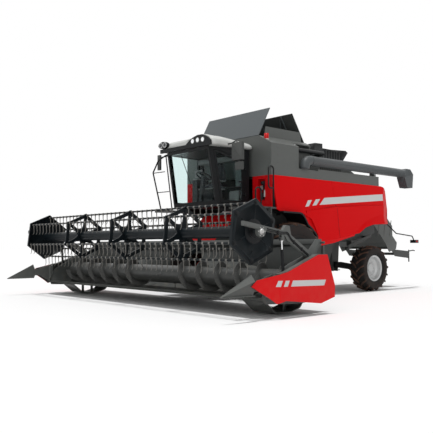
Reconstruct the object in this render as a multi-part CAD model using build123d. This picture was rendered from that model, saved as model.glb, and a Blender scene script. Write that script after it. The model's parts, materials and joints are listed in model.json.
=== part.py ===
from build123d import *
import math
import os

# Combine harvester with its cutting header, in mm. X points forward, Y to the left and Z up.
# Places below count X from the front axle's centre line and Z from the ground. At the end every
# piece moves along X, so that the origin is on the ground in the middle of the machine's length.

# ---- Wheels and axles ----
WHEELBASE = 3300
FRONT_TYRE_R, FRONT_TYRE_W, FRONT_RIM_R = 890, 650, 420
REAR_TYRE_R, REAR_TYRE_W, REAR_RIM_R = 610, 460, 318
FRONT_TRACK = 2 * 1355
REAR_TRACK = 2 * 1270
FRONT_STUB_R, REAR_STUB_R = 80, 45
KINGPIN_Y = 985
KINGPIN_R = 42
LUGS_FRONT, LUGS_REAR = 18, 17         # tread lugs on each half of a tyre
LUG_H = 42
RUNNING = 0.5          # clearance between a turning piece and its shaft, on the radius
SEAT = 0.3             # clearance between pieces that lie against each other

# ---- Main body ----
BODY_HALF = 1500
HULL_HALF = 950
BODY_FRONT = 750
REAR = -WHEELBASE      # rear axle's centre line, from which the rear of the body is laid out
BODY_REAR = REAR - 820
TAIL_BEND, TAIL_IN = REAR - 380, 170   # behind the bend the side panels draw in by this much
DECK_Z = 2820          # line between the lower panels and the grey upper body
BAND_TOP = 3070
BAND_REAR = REAR - 170
COVER_TOP = 3360
SKIN = 30
SHEET = 20

# ---- Grain tank and its flaps ----
TANK_REAR = -900
SHOULDER_Z = 3550
RIM_HALF, RIM_Z = 1110, 3760
TANK_WALL = 25
BOARD_TOP = 4000
FLAP_HALF = 1080
FLAP_T = 18
FRONT_FLAP_LEN, FRONT_FLAP_LEAN = 785, 29      # length and lean over the tank, in degrees
REAR_FLAP_LEN, REAR_FLAP_LEAN = 785, 33
FLAP_PIVOT_Z = RIM_Z + 20
FLAP_TUBE_R = 13

# ---- Cab ----
CAB_REAR, CAB_FLOOR, CAB_TOP = 845, 2110, 3440
CAB_HALF_REAR, CAB_TAPER = 880, 0.114          # half width at the rear, and its loss per mm forward
CAB_FRONT_LOW, CAB_FRONT_HIGH = 1740, 1980
CAB_WALL = 60
GLASS_T = 8
ROOF_TOP = 3695
ROOF_FRONT, ROOF_REAR, ROOF_HALF = 2010, 762, 950

# ---- Unloading auger ----
SPOUT_PIVOT_X, SPOUT_PIVOT_Y = -400, BODY_HALF
SPOUT_BEND = 170
SPOUT_TUBE_R, SPOUT_TUBE_Z = 118, 3250
SPOUT_END = -5010
NICHE_FRONT, NICHE_INNER, NICHE_FLOOR = -190, BODY_HALF - 240, 3030

# ---- Feeder house and header ----
FEEDER_HALF = 620
LIFT_X, LIFT_Z = 600, 1650          # pivot of feeder house and header
LIFT_PIN_R = 70
CUT_HALF = 3800                     # half the cutting width, to the inside of the side sheets
SIDE_T = 22
SIDE_OUT = CUT_HALF + SIDE_T        # outside of the side sheets
END_GAP = 268
END_HALF = SIDE_OUT + END_GAP       # outside of the end panels
HEADER_BACK = 1960
HEADER_TOP_Z = 1240
KNIFE_X, KNIFE_Z = 3400, 320
GUARD_PITCH, GUARD_LEN = 76.2, 95
SKID_Z = 30
TIP_X, TIP_Z = 4530, 420            # points of the crop dividers
AUGER_X, AUGER_Z = 2700, 610
AUGER_TUBE_R, FLIGHT_R, FLIGHT_PITCH = 190, 305, 560
AUGER_STUB_R = 35
END_T = 18                          # thickness of the end panels

# ---- Reel ----
REEL_X, REEL_Z = 3580, 1455
REEL_HALF = CUT_HALF - 55           # to the outside of the end shields
SHIELD_R, SHIELD_T, SHIELD_RIM = 565, 10, 50
SPIDER_T = 36
TINE_CIRCLE_R = 490                 # centres of the tine bars
TINE_BAR = 34
TINE_LEN, TINES_PER_BAY = 265, 11
BAYS = 4
REEL_TUBE_R = 106
REEL_TURN = 7                       # the hexagon's top corner leans back by this angle
BARS = 6
ARM_Y, ARM_T = CUT_HALF + 100, 70
ARM_X, ARM_Z = 2350, 1040           # pivot of the reel arms

# ---- Cylinders ----
BASE_X, BASE_Z = 340, 860           # lower eyes of the lift cylinders, on the front axle
LUG_X, LUG_Z, LUG_Y = 1560, 560, 740    # their upper eyes, on the feeder house
EYE_PIN_R, EAR_GAP, EAR_T = 26, 33, 14
REEL_BASE_X, REEL_BASE_Z = 3030, 700    # lower eyes of the reel's lift cylinders, on the side sheets
REEL_EYE_X, REEL_EYE_Z = 3070, 1330     # their upper eyes, on the reel arms
REEL_PIN_R = 12
DRIFT = 14                          # free play round a rod's eye, which takes up the opened linkage

# ---- Reach of the whole machine ----
REAR_REACH = REAR - 3080
MIDDLE = (TIP_X + REAR_REACH) / 2


def at(pairs, y0, y1):
    """Prism whose outline is given as (x, z), from y0 to y1."""
    plane = Plane(origin=(0, y1, 0), x_dir=(1, 0, 0), z_dir=(0, -1, 0))
    return extrude(plane * Polygon(*pairs, align=None), amount=y1 - y0, dir=(0, -1, 0))


def across(pairs, x0, x1):
    """Prism whose outline is given as (y, z), from x0 to x1."""
    plane = Plane(origin=(x0, 0, 0), x_dir=(0, 1, 0), z_dir=(1, 0, 0))
    return extrude(plane * Polygon(*pairs, align=None), amount=x1 - x0, dir=(1, 0, 0))


def standing(pairs, z0, z1):
    """Prism whose outline is given as (x, y), from z0 to z1."""
    return extrude(Pos(0, 0, z0) * Polygon(*pairs, align=None), amount=z1 - z0, dir=(0, 0, 1))


def block(x0, x1, y0, y1, z0, z1):
    """Box between two corners."""
    return Pos((x0 + x1) / 2, (y0 + y1) / 2, (z0 + z1) / 2) * Box(x1 - x0, y1 - y0, z1 - z0)


def rod(p, q, radius):
    """Round bar from p to q."""
    start = Vector(*p)
    along = Vector(*q) - start
    plane = Plane(origin=start, z_dir=along)
    return extrude(plane * Circle(radius), amount=along.length)


def pipe(points, bend, radius):
    """Round bar along straight runs that are joined by arcs."""
    path = FilletPolyline(*points, radius=bend)
    start = Plane(origin=path @ 0, z_dir=path % 0)
    return sweep(start * Circle(radius), path=path)


def beside(points, thick):
    """The same line, moved sideways by a sheet's thickness."""
    line = [Vector(*p) for p in points]
    back = []
    for i, here in enumerate(line):
        before = (here - line[i - 1]).normalized() if i > 0 else None
        after = (line[i + 1] - here).normalized() if i + 1 < len(line) else None
        first = before or after
        second = after or before
        normal = Vector(-first.Y - second.Y, first.X + second.X).normalized()
        spread = normal.X * -first.Y + normal.Y * first.X
        back.append(here + normal * (thick / spread))
    return [(p.X, p.Y) for p in back]


def strip(points, thick):
    """Outline of a bent sheet: the points in order, then back along the offset side."""
    return list(points) + beside(points, thick)[::-1]


def skin(rows):
    """Solid through rows of points: each row is a closed loop, joined to the next by flat facets."""
    count = len(rows[0])
    faces = [Face(Wire.make_polygon(end)) for end in (rows[0], rows[-1])]
    for a, b in zip(rows, rows[1:]):
        for k in range(count):
            m = (k + 1) % count
            faces.append(Face(Wire.make_polygon([a[k], a[m], b[m]])))
            faces.append(Face(Wire.make_polygon([a[k], b[m], b[k]])))
    return Solid(Shell(faces))


def mirrored(shape):
    """The same piece on the other side of the machine."""
    return mirror(shape, about=Plane.XZ)


def pair(shape):
    """The piece and its mirror image, as two solids."""
    return list(solids_of(shape)) + list(solids_of(mirrored(shape)))


def solids_of(shape):
    return shape.solids()


nodes = {}


def keep(name, *shapes):
    """Files the solids of a node, moved to the machine's own origin."""
    parts = []
    for shape in shapes:
        group = shape if isinstance(shape, (list, tuple, ShapeList)) else [shape]
        for one in group:
            parts += list(one.solids())
    nodes[name] = Compound(children=[Pos(-MIDDLE, 0, 0) * part for part in parts])


# ======================= Wheels =======================

def ring(profile):
    """Turned piece: (y, radius) points revolved about the wheel's axle, its seam at the bottom."""
    plane = Plane(origin=(0, 0, 0), x_dir=(0, 1, 0), z_dir=(-1, 0, 0))
    return revolve(plane * Polygon(*profile, align=None), axis=Axis.Y)


BEAD_SHARE = 0.64       # the rim's width as a share of the tyre's
BEAD_H, BEAD_LEAN = 30, 16      # height and outward lean of the rim's flanges


def carcass(profile, sides):
    """Tyre's body as flat facets: the profile of (y, radius) points at each of the sides' corners."""
    rings = []
    for k in range(sides):
        turn = 2 * math.pi * k / sides
        rings.append([(r * math.cos(turn), y, r * math.sin(turn)) for y, r in profile])
    faces = []
    for k, here in enumerate(rings):
        after = rings[(k + 1) % sides]
        for j in range(len(profile)):
            m = (j + 1) % len(profile)
            faces.append(Face(Wire.make_polygon([here[j], here[m], after[m], after[j]])))
    return Solid(Shell(faces))


def tyre(radius, width, rim, lugs):
    """Tyre with two rows of slanted lugs, offset by half a pitch, that lead at the middle."""
    half, depth = width / 2, radius - rim
    tread = radius - LUG_H
    bead = half * BEAD_SHARE
    bore_r = rim / math.cos(math.pi / lugs)
    side = [
        (bead, bore_r),
        (half, rim + 0.50 * depth),
        (0.93 * half, tread - 0.08 * depth),
        (0.62 * half, tread),
    ]
    body = carcass(side + [(-y, r) for y, r in side[::-1]], lugs)
    slant = 0.75 * half / radius
    # columns: y and radius of the lug's top, y and radius of its root, share of the slant
    stations = [
        (0.02 * half, radius, 0.02 * half, tread - 12, 0.0),
        (0.975 * half, radius - 0.13 * depth, 0.88 * half, tread - 0.22 * depth, 1.0),
    ]
    top_w, root_w = 0.033, 0.047     # half widths of a lug, in radians
    pieces = []
    for i in range(lugs):
        for hand, shift in ((1, 0), (-1, 0.5)):
            start = -math.pi / 2 - top_w + 2 * math.pi * (i + shift) / lugs
            rows = []
            for y, r, root_y, root_r, share in stations:
                turn = start + share * slant
                corners = [(root_y, root_r, -root_w), (y, r, -top_w), (y, r, top_w), (root_y, root_r, root_w)]
                rows.append([(cr * math.cos(turn + w), hand * cy, cr * math.sin(turn + w))
                             for cy, cr, w in corners])
            pieces.append(skin(rows))
    return body.fuse(*pieces)


def rim(tyre_width, radius, bore, dish, hub_out):
    """Rim with flanges, a dished disc and a hub; dish is the disc's place outboard of the middle."""
    half = tyre_width / 2 * BEAD_SHARE
    outer = radius - SEAT
    flange_r = outer + BEAD_H - 4
    barrel = [
        (half, outer), (half + SEAT, outer), (half + BEAD_LEAN, flange_r), (half + BEAD_LEAN + 12, flange_r),
        (half + 12, outer - 14), (dish + 60, outer - 40), (-dish, outer - 40), (-half - 12, outer - 14),
        (-half - BEAD_LEAN - 12, flange_r), (-half - BEAD_LEAN, flange_r), (-half - SEAT, outer), (-half, outer),
    ]
    disc = [
        (dish + 58, outer - 30), (dish + 76, outer - 30), (dish + 20, 0.62 * outer), (hub_out, bore + 85),
        (hub_out, bore), (-40, bore), (-40, bore + 60), (dish - 20, bore + 95), (dish, 0.6 * outer),
    ]
    return ring(barrel) + ring(disc)


FRONT_HUB_OUT = 60
REAR_HUB_OUT = 40
WHEELS = [
    # name, x, y of the middle, radius, width, rim radius, lugs, stub radius, dish, hub's outer end
    ("front", 0, FRONT_TRACK / 2, FRONT_TYRE_R, FRONT_TYRE_W, FRONT_RIM_R, LUGS_FRONT, FRONT_STUB_R, 40,
     FRONT_HUB_OUT),
    ("rear", REAR, REAR_TRACK / 2, REAR_TYRE_R, REAR_TYRE_W, REAR_RIM_R, LUGS_REAR, REAR_STUB_R, 20,
     REAR_HUB_OUT),
]
for name, x, y, radius, width, rim_r, lugs, stub, dish, hub_out in WHEELS:
    place = Pos(x, y, radius)
    rubber = place * tyre(radius, width, rim_r, lugs)
    steel = place * rim(width, rim_r, stub + RUNNING, dish, hub_out)
    keep("tyre_" + name + "_left", rubber)
    keep("tyre_" + name + "_right", mirrored(rubber))
    keep("rim_" + name + "_left", steel)
    keep("rim_" + name + "_right", mirrored(steel))

# Front axle: a beam under the hull, with a final drive box and a stub at each end.
front_z, rear_z = FRONT_TYRE_R, REAR_TYRE_R
drive_y = FRONT_TRACK / 2 - FRONT_TYRE_W / 2 - 15
AXLE_HALF = 110
drive_box = at([(-150, front_z - 230), (150, front_z - 230), (200, front_z - 60), (180, front_z + AXLE_HALF),
                (-180, front_z + AXLE_HALF), (-200, front_z - 60)], drive_y - 180, drive_y)
stub_end = FRONT_TRACK / 2 + FRONT_HUB_OUT - 2
front_axle = block(-AXLE_HALF, AXLE_HALF, -drive_y + 10, drive_y - 10, front_z - AXLE_HALF, front_z + AXLE_HALF)
drive = drive_box + rod((0, drive_y - 5, front_z), (0, stub_end, front_z), FRONT_STUB_R)
# Ears ahead of the beam hold the lower eyes of the lift cylinders.
for y in (LUG_Y - EAR_GAP - EAR_T, LUG_Y + EAR_GAP):
    drive += at([(AXLE_HALF - 5, BASE_Z - 60), (BASE_X, BASE_Z - 45), (BASE_X + 45, BASE_Z), (BASE_X, BASE_Z + 45),
                 (AXLE_HALF - 5, BASE_Z + 80)], y, y + EAR_T)
drive += rod((BASE_X, LUG_Y - EAR_GAP - EAR_T, BASE_Z), (BASE_X, LUG_Y + EAR_GAP + EAR_T, BASE_Z), EYE_PIN_R)
front_axle = front_axle + drive + mirrored(drive)

# Rear axle: an arched beam on a centre pin, with a boss at each end for the kingpin.
BOSS_R, BOSS_HALF = 78, 92
beam_end = KINGPIN_Y - BOSS_R + 20
rear_beam = across([(-beam_end, rear_z - 70), (-300, rear_z - 10), (300, rear_z - 10), (beam_end, rear_z - 70),
                    (beam_end, rear_z + 70), (300, rear_z + 150), (-300, rear_z + 150), (-beam_end, rear_z + 70)],
                   REAR - 75, REAR + 75)
boss = Pos(REAR, KINGPIN_Y, rear_z) * Cylinder(BOSS_R, 2 * BOSS_HALF)
bore = Pos(REAR, KINGPIN_Y, rear_z) * Cylinder(KINGPIN_R + RUNNING, 4 * BOSS_HALF)
rear_axle = rear_beam + boss + mirrored(boss) - bore - mirrored(bore)
PIVOT_PIN_R = 60
pivot_z = rear_z + 70
rear_axle -= rod((REAR - 300, 0, pivot_z), (REAR + 300, 0, pivot_z), PIVOT_PIN_R + RUNNING)
keep("axles", front_axle, rear_axle)


def knuckle():
    """Yoke that holds the kingpin above and below the boss, and carries the wheel's stub."""
    yoke_in, yoke_out = BOSS_R + 10, BOSS_R + 45
    gap = BOSS_HALF + 1
    arm = gap + 32
    z = rear_z
    side = block(-70, 70, yoke_in, yoke_out, z - arm, z + arm)
    arms = block(-60, 60, -55, yoke_in + 5, z + gap, z + arm) + block(-60, 60, -55, yoke_in + 5, z - arm, z - gap)
    pin = Pos(0, 0, z) * Cylinder(KINGPIN_R, 2 * arm)
    stub = rod((0, yoke_out - 2, z), (0, REAR_TRACK / 2 - KINGPIN_Y + REAR_HUB_OUT - 2, z), REAR_STUB_R)
    return Pos(REAR, KINGPIN_Y, 0) * (side + arms + pin + stub)


keep("knuckle_left", knuckle())
keep("knuckle_right", mirrored(knuckle()))

# ======================= Hull =======================
HULL_TOP = DECK_Z - SHEET - SEAT
HULL_BOTTOM = 600
HULL = [
    (BODY_FRONT - SKIN - SEAT, HULL_TOP), (BODY_FRONT - SKIN - SEAT, 1550), (430, 1500), (330, 1010),
    (-420, 1010), (-680, HULL_BOTTOM), (REAR + 1420, HULL_BOTTOM), (REAR + 1070, 1290), (REAR + 250, 1340),
    (REAR - 740, 1560),
    (REAR - 740, 2190), (REAR - 500, 2640), (REAR - 240, HULL_TOP),
]
hull = at(HULL, -HULL_HALF, HULL_HALF)
inside = at([(BODY_FRONT, HULL_TOP - SHEET), (BODY_FRONT, 1575), (412, 1520), (310, 1040), (-400, 1040),
             (-660, HULL_BOTTOM + SHEET), (REAR + 1435, HULL_BOTTOM + SHEET), (REAR + 1085, 1310),
             (REAR + 250, 1360), (REAR - 900, 1615), (REAR - 900, 2180), (REAR - 490, 2620),
             (REAR - 245, HULL_TOP - SHEET)],
            -HULL_HALF + SHEET, HULL_HALF - SHEET)
feeder_way = at([(760, 2090), (760, 1400), (345, 1045), (200, 1045), (300, 2090)],
                -FEEDER_HALF - 25, FEEDER_HALF + 25)
hull = hull - inside - feeder_way
# Bracket down to the rear axle's centre pin, and rails that carry the panels.
FORK_HALF = 120
fork = at([(REAR - 190, 1420), (REAR + 190, 1420), (REAR + FORK_HALF, pivot_z - 90), (REAR + FORK_HALF, 500),
           (REAR - FORK_HALF, 500), (REAR - FORK_HALF, pivot_z - 90)], -150, 150)
fork -= block(REAR - 76, REAR + 76, -200, 200, 0, rear_z + 160)
fork += rod((REAR - FORK_HALF + 2, 0, pivot_z), (REAR + FORK_HALF - 2, 0, pivot_z), PIVOT_PIN_R)
seat_block = block(-105, 105, -560, 560, front_z + 110 + SEAT, 1011)
RAILS = [
    # x from, x to, z of the rail that reaches from the hull to the panels
    (-1010, -930, 1500), (REAR + 1000, REAR + 1080, 1700), (REAR - 600, REAR - 520, 2000), (-900, -820, 2600),
    (REAR - 200, REAR - 120, 2600), (420, 500, 2500),
]
# The side panels as seen from above: straight, then drawn in behind the bend.
PLAN = [(BODY_FRONT - SKIN - SEAT, BODY_HALF), (TAIL_BEND, BODY_HALF), (BODY_REAR, BODY_HALF - TAIL_IN)]
plan_inner = beside(PLAN, SKIN + SEAT)
room = standing(plan_inner + [(x, -y) for x, y in plan_inner[::-1]], 1000, DECK_Z)
bearing = block(LIFT_X - 85, LIFT_X + 85, FEEDER_HALF + 40, HULL_HALF - 5, LIFT_Z - 85, LIFT_Z + 85)
bearing -= rod((LIFT_X, 0, LIFT_Z), (LIFT_X, HULL_HALF, LIFT_Z), LIFT_PIN_R + RUNNING)
# Hitch for a header trailer: a tongue behind the fork with an upright bore through its two plates.
HITCH_X, HITCH_Z, HITCH_R = REAR - 340, 560, 16
hitch = block(HITCH_X, REAR - FORK_HALF + 10, -45, 45, HITCH_Z - 50, HITCH_Z + 50)
hitch += Pos(HITCH_X, 0, HITCH_Z) * Cylinder(45, 100)
hitch -= block(HITCH_X - 60, HITCH_X + 80, -60, 60, HITCH_Z - 30, HITCH_Z + 30)
hitch -= Pos(HITCH_X, 0, HITCH_Z) * Cylinder(HITCH_R, 200)
hull_parts = hull + fork + seat_block + bearing + mirrored(bearing) + hitch
# Cross member at the front, which carries the cab.
hull_front = BODY_FRONT - SKIN - SEAT
hull_parts += block(hull_front - 40, hull_front, -HULL_HALF + 5, HULL_HALF - 5, 2110, 2250)
for x0, x1, z in RAILS:
    for side in (1, -1):
        ys = sorted((side * (HULL_HALF - 5), side * BODY_HALF))
        hull_parts += block(x0, x1, ys[0], ys[1], z, z + 80) & room
# A guard bar on two stays runs over each rear wheel.
GUARD_Y = 1090
for side in (1, -1):
    ys = sorted((side * GUARD_Y, side * (GUARD_Y + 25)))
    hull_parts += at([(REAR + 690, 1230), (REAR - 360, 1540), (REAR - 360, 1460), (REAR + 690, 1130)],
                     ys[0], ys[1])
    for x, z0, z1 in ((REAR + 520, 1215, 1360), (REAR - 200, 1430, 1485)):
        ys = sorted((side * (HULL_HALF - 5), side * (GUARD_Y + 5)))
        hull_parts += block(x - 25, x + 25, ys[0], ys[1], z0, z1)
keep("hull", hull_parts)

# ======================= Side and end panels =======================
# columns: x, z of the flat panel's edge, then x, z of the edge that turns inwards from it, and how far in
TURNED = [
    (-300, 1985, -250, 1940, 50), (-640, 1850, -500, 1690, 60), (-800, 1620, -680, 1545, 70),
    (-890, 1450, -820, 1410, 80), (-875, 1312, -885, 1190, 90), (REAR + 1730, 1382, REAR + 1700, 1285, 90),
    (REAR + 870, 1520, REAR + 870, 1470, 60),
]
# columns: x, z of the rear arch's edge, then x, z of the line from which its lip flares out
FLARED = [
    (REAR + 800, 1530, REAR + 860, 1560), (REAR + 490, 1690, REAR + 620, 1750), (REAR + 170, 1770, REAR + 170, 1950),
    (REAR - 260, 1800, REAR - 400, 2060), (REAR - 760, 1810, REAR - 760, 2060),
]
FLARE_OUT = 32
REAR_LINE = [(REAR - 790, 1810), (BODY_REAR, 2200), (REAR - 720, 2420), (REAR - 600, 2700), (REAR - 490, 2780),
             (REAR - 260, DECK_Z - SEAT)]
PANEL = [(BODY_FRONT - SKIN - SEAT, DECK_Z - SEAT), (565, 2050), (470, 2010), (-110, 2000)]
PANEL += [(x, z) for x, z, _, _, _ in TURNED] + [(x, z) for x, z, _, _ in FLARED] + REAR_LINE


def panel_y(x):
    """The side panel's outer face at x."""
    return BODY_HALF - TAIL_IN * max(0, TAIL_BEND - x) / (TAIL_BEND - BODY_REAR)


side_panel = at(PANEL, BODY_HALF - 250, BODY_HALF + 1) & standing(strip(PLAN, SKIN), 1000, DECK_Z)
turned = []
lap = BODY_HALF - SKIN - SEAT
for x, z, turned_x, turned_z, inward in TURNED:
    root_x, root_z = x + 0.1 * (x - turned_x), z + 0.1 * (z - turned_z)
    turned.append([(root_x, lap, root_z), (turned_x, BODY_HALF - inward, turned_z),
                   (turned_x, BODY_HALF - inward - 25, turned_z), (root_x, lap - 20, root_z)])
side_panel += skin([[(bx, panel_y(bx) - 1, bz), (x, panel_y(x) + FLARE_OUT, z), (x, panel_y(x) - SKIN + 5, z)]
                    for x, z, bx, bz in FLARED])


def dip(rows, depth):
    """Cutter for a recess with a ledge along its top, from rows of x, top and bottom."""
    return skin([[(x, BODY_HALF + 2, top + 2), (x, BODY_HALF - depth, top), (x, BODY_HALF + 2, bottom)]
                 for x, top, bottom in rows])


# A stepped scoop under the stripe runs out into a long crease, and a seam splits the panel.
side_panel -= dip([(-430, 2040, 2010), (-560, 2070, 1885), (-1120, 2145, 1885), (-1520, 2200, 1990),
                   (-1600, 2205, 2100)], 22)
side_panel -= dip([(-1620, 2190, 2130), (-2300, 2240, 2060), (REAR - 200, 2300, 2240)], 12)
side_panel -= at(strip([(-1420, DECK_Z), (-1630, 2030), (-1750, 1350)], 8), BODY_HALF - 6, BODY_HALF + 1)

WALL_Y = 900
WINDOW = (WALL_Y + 180, WALL_Y + 400, 2250, 2740)      # y from, y to, z from, z to
front_walls = across([(WALL_Y, 2020), (BODY_HALF, 2050), (BODY_HALF, DECK_Z - SEAT), (WALL_Y, DECK_Z - SEAT)],
                     BODY_FRONT - SKIN, BODY_FRONT)
front_walls += block(BODY_FRONT - 110, BODY_FRONT - 5, WINDOW[0] - 6, WINDOW[1] + 6, WINDOW[2] - 6, WINDOW[3] + 6)
front_walls -= block(BODY_FRONT - 104, BODY_FRONT + 1, *WINDOW)
rear_wall = at(strip(REAR_LINE, -SHEET), -BODY_HALF, BODY_HALF) & room
keep("side_panels", pair(side_panel), pair(skin(turned)))
keep("end_panels", pair(front_walls), rear_wall)

# ======================= Upper body =======================
def tank_section(inset):
    """Section of the tank across the machine, drawn in by a wall's thickness."""
    half, low = BODY_HALF - inset, DECK_Z + inset
    slope = inset * 0.6
    return [(-half, low), (half, low), (half, SHOULDER_Z - slope), (RIM_HALF - inset, RIM_Z - slope),
            (RIM_HALF - inset, RIM_Z), (-RIM_HALF + inset, RIM_Z), (-RIM_HALF + inset, RIM_Z - slope),
            (-half, SHOULDER_Z - slope)]


tank = across(tank_section(0), TANK_REAR, BODY_FRONT)
tank -= across(tank_section(TANK_WALL), TANK_REAR + TANK_WALL, BODY_FRONT - TANK_WALL)
niche = block(TANK_REAR - 1, NICHE_FRONT, NICHE_INNER, BODY_HALF + 1, NICHE_FLOOR, RIM_Z + 1)
niche_lining = block(TANK_REAR, NICHE_FRONT + TANK_WALL, NICHE_INNER - TANK_WALL, BODY_HALF, NICHE_FLOOR - TANK_WALL,
                     SHOULDER_Z + 10)
niche_lining = niche_lining & across(tank_section(0), TANK_REAR, BODY_FRONT)
tank = (tank + niche_lining) - niche
mouth = block(TANK_REAR + TANK_WALL, BODY_FRONT - TANK_WALL, -RIM_HALF + TANK_WALL, RIM_HALF - TANK_WALL,
              RIM_Z - 60, RIM_Z + 1)
tank -= mouth
board = at([(560, RIM_Z - 1), (520, BOARD_TOP), (-700, BOARD_TOP), (-740, RIM_Z - 1)], RIM_HALF - 18, RIM_HALF)
FRONT_HINGE_X = BODY_FRONT - TANK_WALL - 5
REAR_HINGE_X = TANK_REAR + TANK_WALL + 5
tank = tank + board + mirrored(board)
# Hinge seats on the rim, under the tubes of the flaps.
for y in (-900, -300, 300, 900):
    seat_top = FLAP_PIVOT_Z - FLAP_TUBE_R - SEAT
    tank += block(FRONT_HINGE_X - 12, BODY_FRONT - 1, y - 40, y + 40, RIM_Z - 30, seat_top)
    tank += block(TANK_REAR + 1, REAR_HINGE_X + 12, y - 40, y + 40, RIM_Z - 30, seat_top)
keep("grain_tank", tank)


def flap(hinge_x, length, lean, forward):
    """Flap standing on its hinge: forward is 1 where it leans forward, -1 where it leans back."""
    tip_x = hinge_x + forward * length * math.sin(math.radians(lean))
    tip_z = FLAP_PIVOT_Z + length * math.cos(math.radians(lean))
    side_x, side_z = FLAP_T / 2 * math.cos(math.radians(lean)), forward * FLAP_T / 2 * math.sin(math.radians(lean))
    outline = [(hinge_x - side_x, FLAP_PIVOT_Z + side_z), (tip_x - side_x, tip_z + side_z),
               (tip_x + side_x, tip_z - side_z), (hinge_x + side_x, FLAP_PIVOT_Z - side_z)]
    tube = rod((hinge_x, -FLAP_HALF, FLAP_PIVOT_Z), (hinge_x, FLAP_HALF, FLAP_PIVOT_Z), FLAP_TUBE_R)
    return at(outline, -FLAP_HALF, FLAP_HALF) + tube


keep("tank_flap_front", flap(FRONT_HINGE_X, FRONT_FLAP_LEN, FRONT_FLAP_LEAN, -1))
keep("tank_flap_rear", flap(REAR_HINGE_X, REAR_FLAP_LEN, REAR_FLAP_LEAN, 1))

# Engine deck: a tray behind the tank, with the hood over the engine and a cradle for the auger.
deck = block(BAND_REAR, TANK_REAR - SEAT, -BODY_HALF, BODY_HALF, DECK_Z, BAND_TOP)
deck -= block(BAND_REAR + TANK_WALL, TANK_REAR + 1, -BODY_HALF + TANK_WALL, BODY_HALF - TANK_WALL,
              DECK_Z + TANK_WALL, BAND_TOP + 1)
HOOD_FRONT, HOOD_REAR, HOOD_Y = -1000, REAR + 100, 950
hood = at([(HOOD_FRONT, DECK_Z + TANK_WALL - 1), (HOOD_FRONT, COVER_TOP), (HOOD_REAR + 500, COVER_TOP),
           (HOOD_REAR + 50, COVER_TOP - 190), (HOOD_REAR, DECK_Z + TANK_WALL - 1)], -HOOD_Y, HOOD_Y)
hood -= at([(HOOD_FRONT - SHEET, DECK_Z), (HOOD_FRONT - SHEET, COVER_TOP - SHEET),
            (HOOD_REAR + 505, COVER_TOP - SHEET), (HOOD_REAR + 68, COVER_TOP - 204), (HOOD_REAR + 20, DECK_Z)],
           -HOOD_Y + SHEET, HOOD_Y - SHEET)
# Cooling slots in the hood's sides.
for k in range(12):
    x = -1700 - 75 * k
    hood -= block(x, x + 40, -HOOD_Y - 1, HOOD_Y + 1, COVER_TOP - 260, COVER_TOP - 90)
cradle_x = REAR
cradle = block(cradle_x - 40, cradle_x + 40, SPOUT_PIVOT_Y - 150, SPOUT_PIVOT_Y - 1, BAND_TOP - 30, BAND_TOP + 130)
cradle -= rod((cradle_x - 60, SPOUT_PIVOT_Y, SPOUT_TUBE_Z), (cradle_x + 60, SPOUT_PIVOT_Y, SPOUT_TUBE_Z),
              SPOUT_TUBE_R + 6)
keep("engine_deck", deck + hood + cradle)
keep("engine", block(-2600, -1300, -500, 500, DECK_Z + TANK_WALL + SEAT, COVER_TOP - 60))

base_z = COVER_TOP + SEAT
STACK_Y0, STACK_Y1 = 700, 940
stack = at([(-1330, base_z), (-1330, 3640), (-1480, 3850), (-1780, 3860), (-1790, base_z)], STACK_Y0, STACK_Y1)
trough = at([(-1789, base_z), (-1789, 3750), (-2150, 3745), (-2800, 3780), (-2890, 3730), (-2700, 3520),
             (-2650, base_z)], STACK_Y0, STACK_Y1 - 20)
for k in range(7):
    x = -1880 - 110 * k
    trough -= block(x - 12, x, STACK_Y1 - 30, STACK_Y1, 3420, 3700)
duct = rod((TANK_REAR - SEAT, 820, 3520), (-1400, 820, 3520), 60)
# The intake's snorkel runs forward above the unloading auger, to a flanged mouth.
SNORKEL_Y, SNORKEL_Z, SNORKEL_R = BODY_HALF - 140, 3502, 54
snorkel_line = Polyline((-295, SNORKEL_Y, SNORKEL_Z), (-1240, SNORKEL_Y, SNORKEL_Z), (-1480, STACK_Y1 - 60, SNORKEL_Z))
snorkel_end = Plane(origin=snorkel_line @ 0, z_dir=snorkel_line % 0)
snorkel = sweep(snorkel_end * Circle(SNORKEL_R), path=snorkel_line, transition=Transition.RIGHT)
snorkel += rod((-280, SNORKEL_Y, SNORKEL_Z), (-305, SNORKEL_Y, SNORKEL_Z), SNORKEL_R + 7)
keep("air_intake", stack + trough + duct + snorkel)

# Straw hood at the rear, the spreader's tailboard below it and the tail lamps on their arms.
HOOD_HALF = 850
HOOD_SIDE = [(REAR - 700, 1830), (REAR - 900, 1780), (REAR - 1440, 1290), (REAR - 1650, 1030), (REAR - 2000, 1110),
             (REAR - 2050, 1300), (REAR - 1820, 1500), (REAR - 1810, 1790), (REAR - 1300, 2230), (REAR - 700, 2300)]
straw_hood = at(HOOD_SIDE, -HOOD_HALF, HOOD_HALF)
straw_hood -= at([(REAR - 700, 1850), (REAR - 910, 1800), (REAR - 1470, 1270), (REAR - 1660, 980),
                  (REAR - 1980, 1000), (REAR - 2025, 1300), (REAR - 1795, 1510), (REAR - 1785, 1780),
                  (REAR - 1290, 2205), (REAR - 700, 2280)], -HOOD_HALF + SHEET, HOOD_HALF - SHEET)
rear_side = [(x - SEAT, z) for x, z in REAR_LINE]
straw_hood -= at([(REAR - 600, 1700), (REAR - 790 - SEAT, 1700)] + rear_side[:4] + [(REAR - 600, 2700)],
                 -HOOD_HALF - 1, HOOD_HALF + 1)
keep("straw_hood", straw_hood)
board_y = HOOD_HALF - SHEET - SEAT
BOARD_T = 25
tail = at([(REAR - 1800, 1090), (REAR - 1800, 1180), (REAR - 1940, 1180), (REAR - 1970, 1098), (REAR - 2750, 1045),
           (REAR - 2750, 830), (REAR - 1990, 900)], board_y - BOARD_T, board_y)
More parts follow.
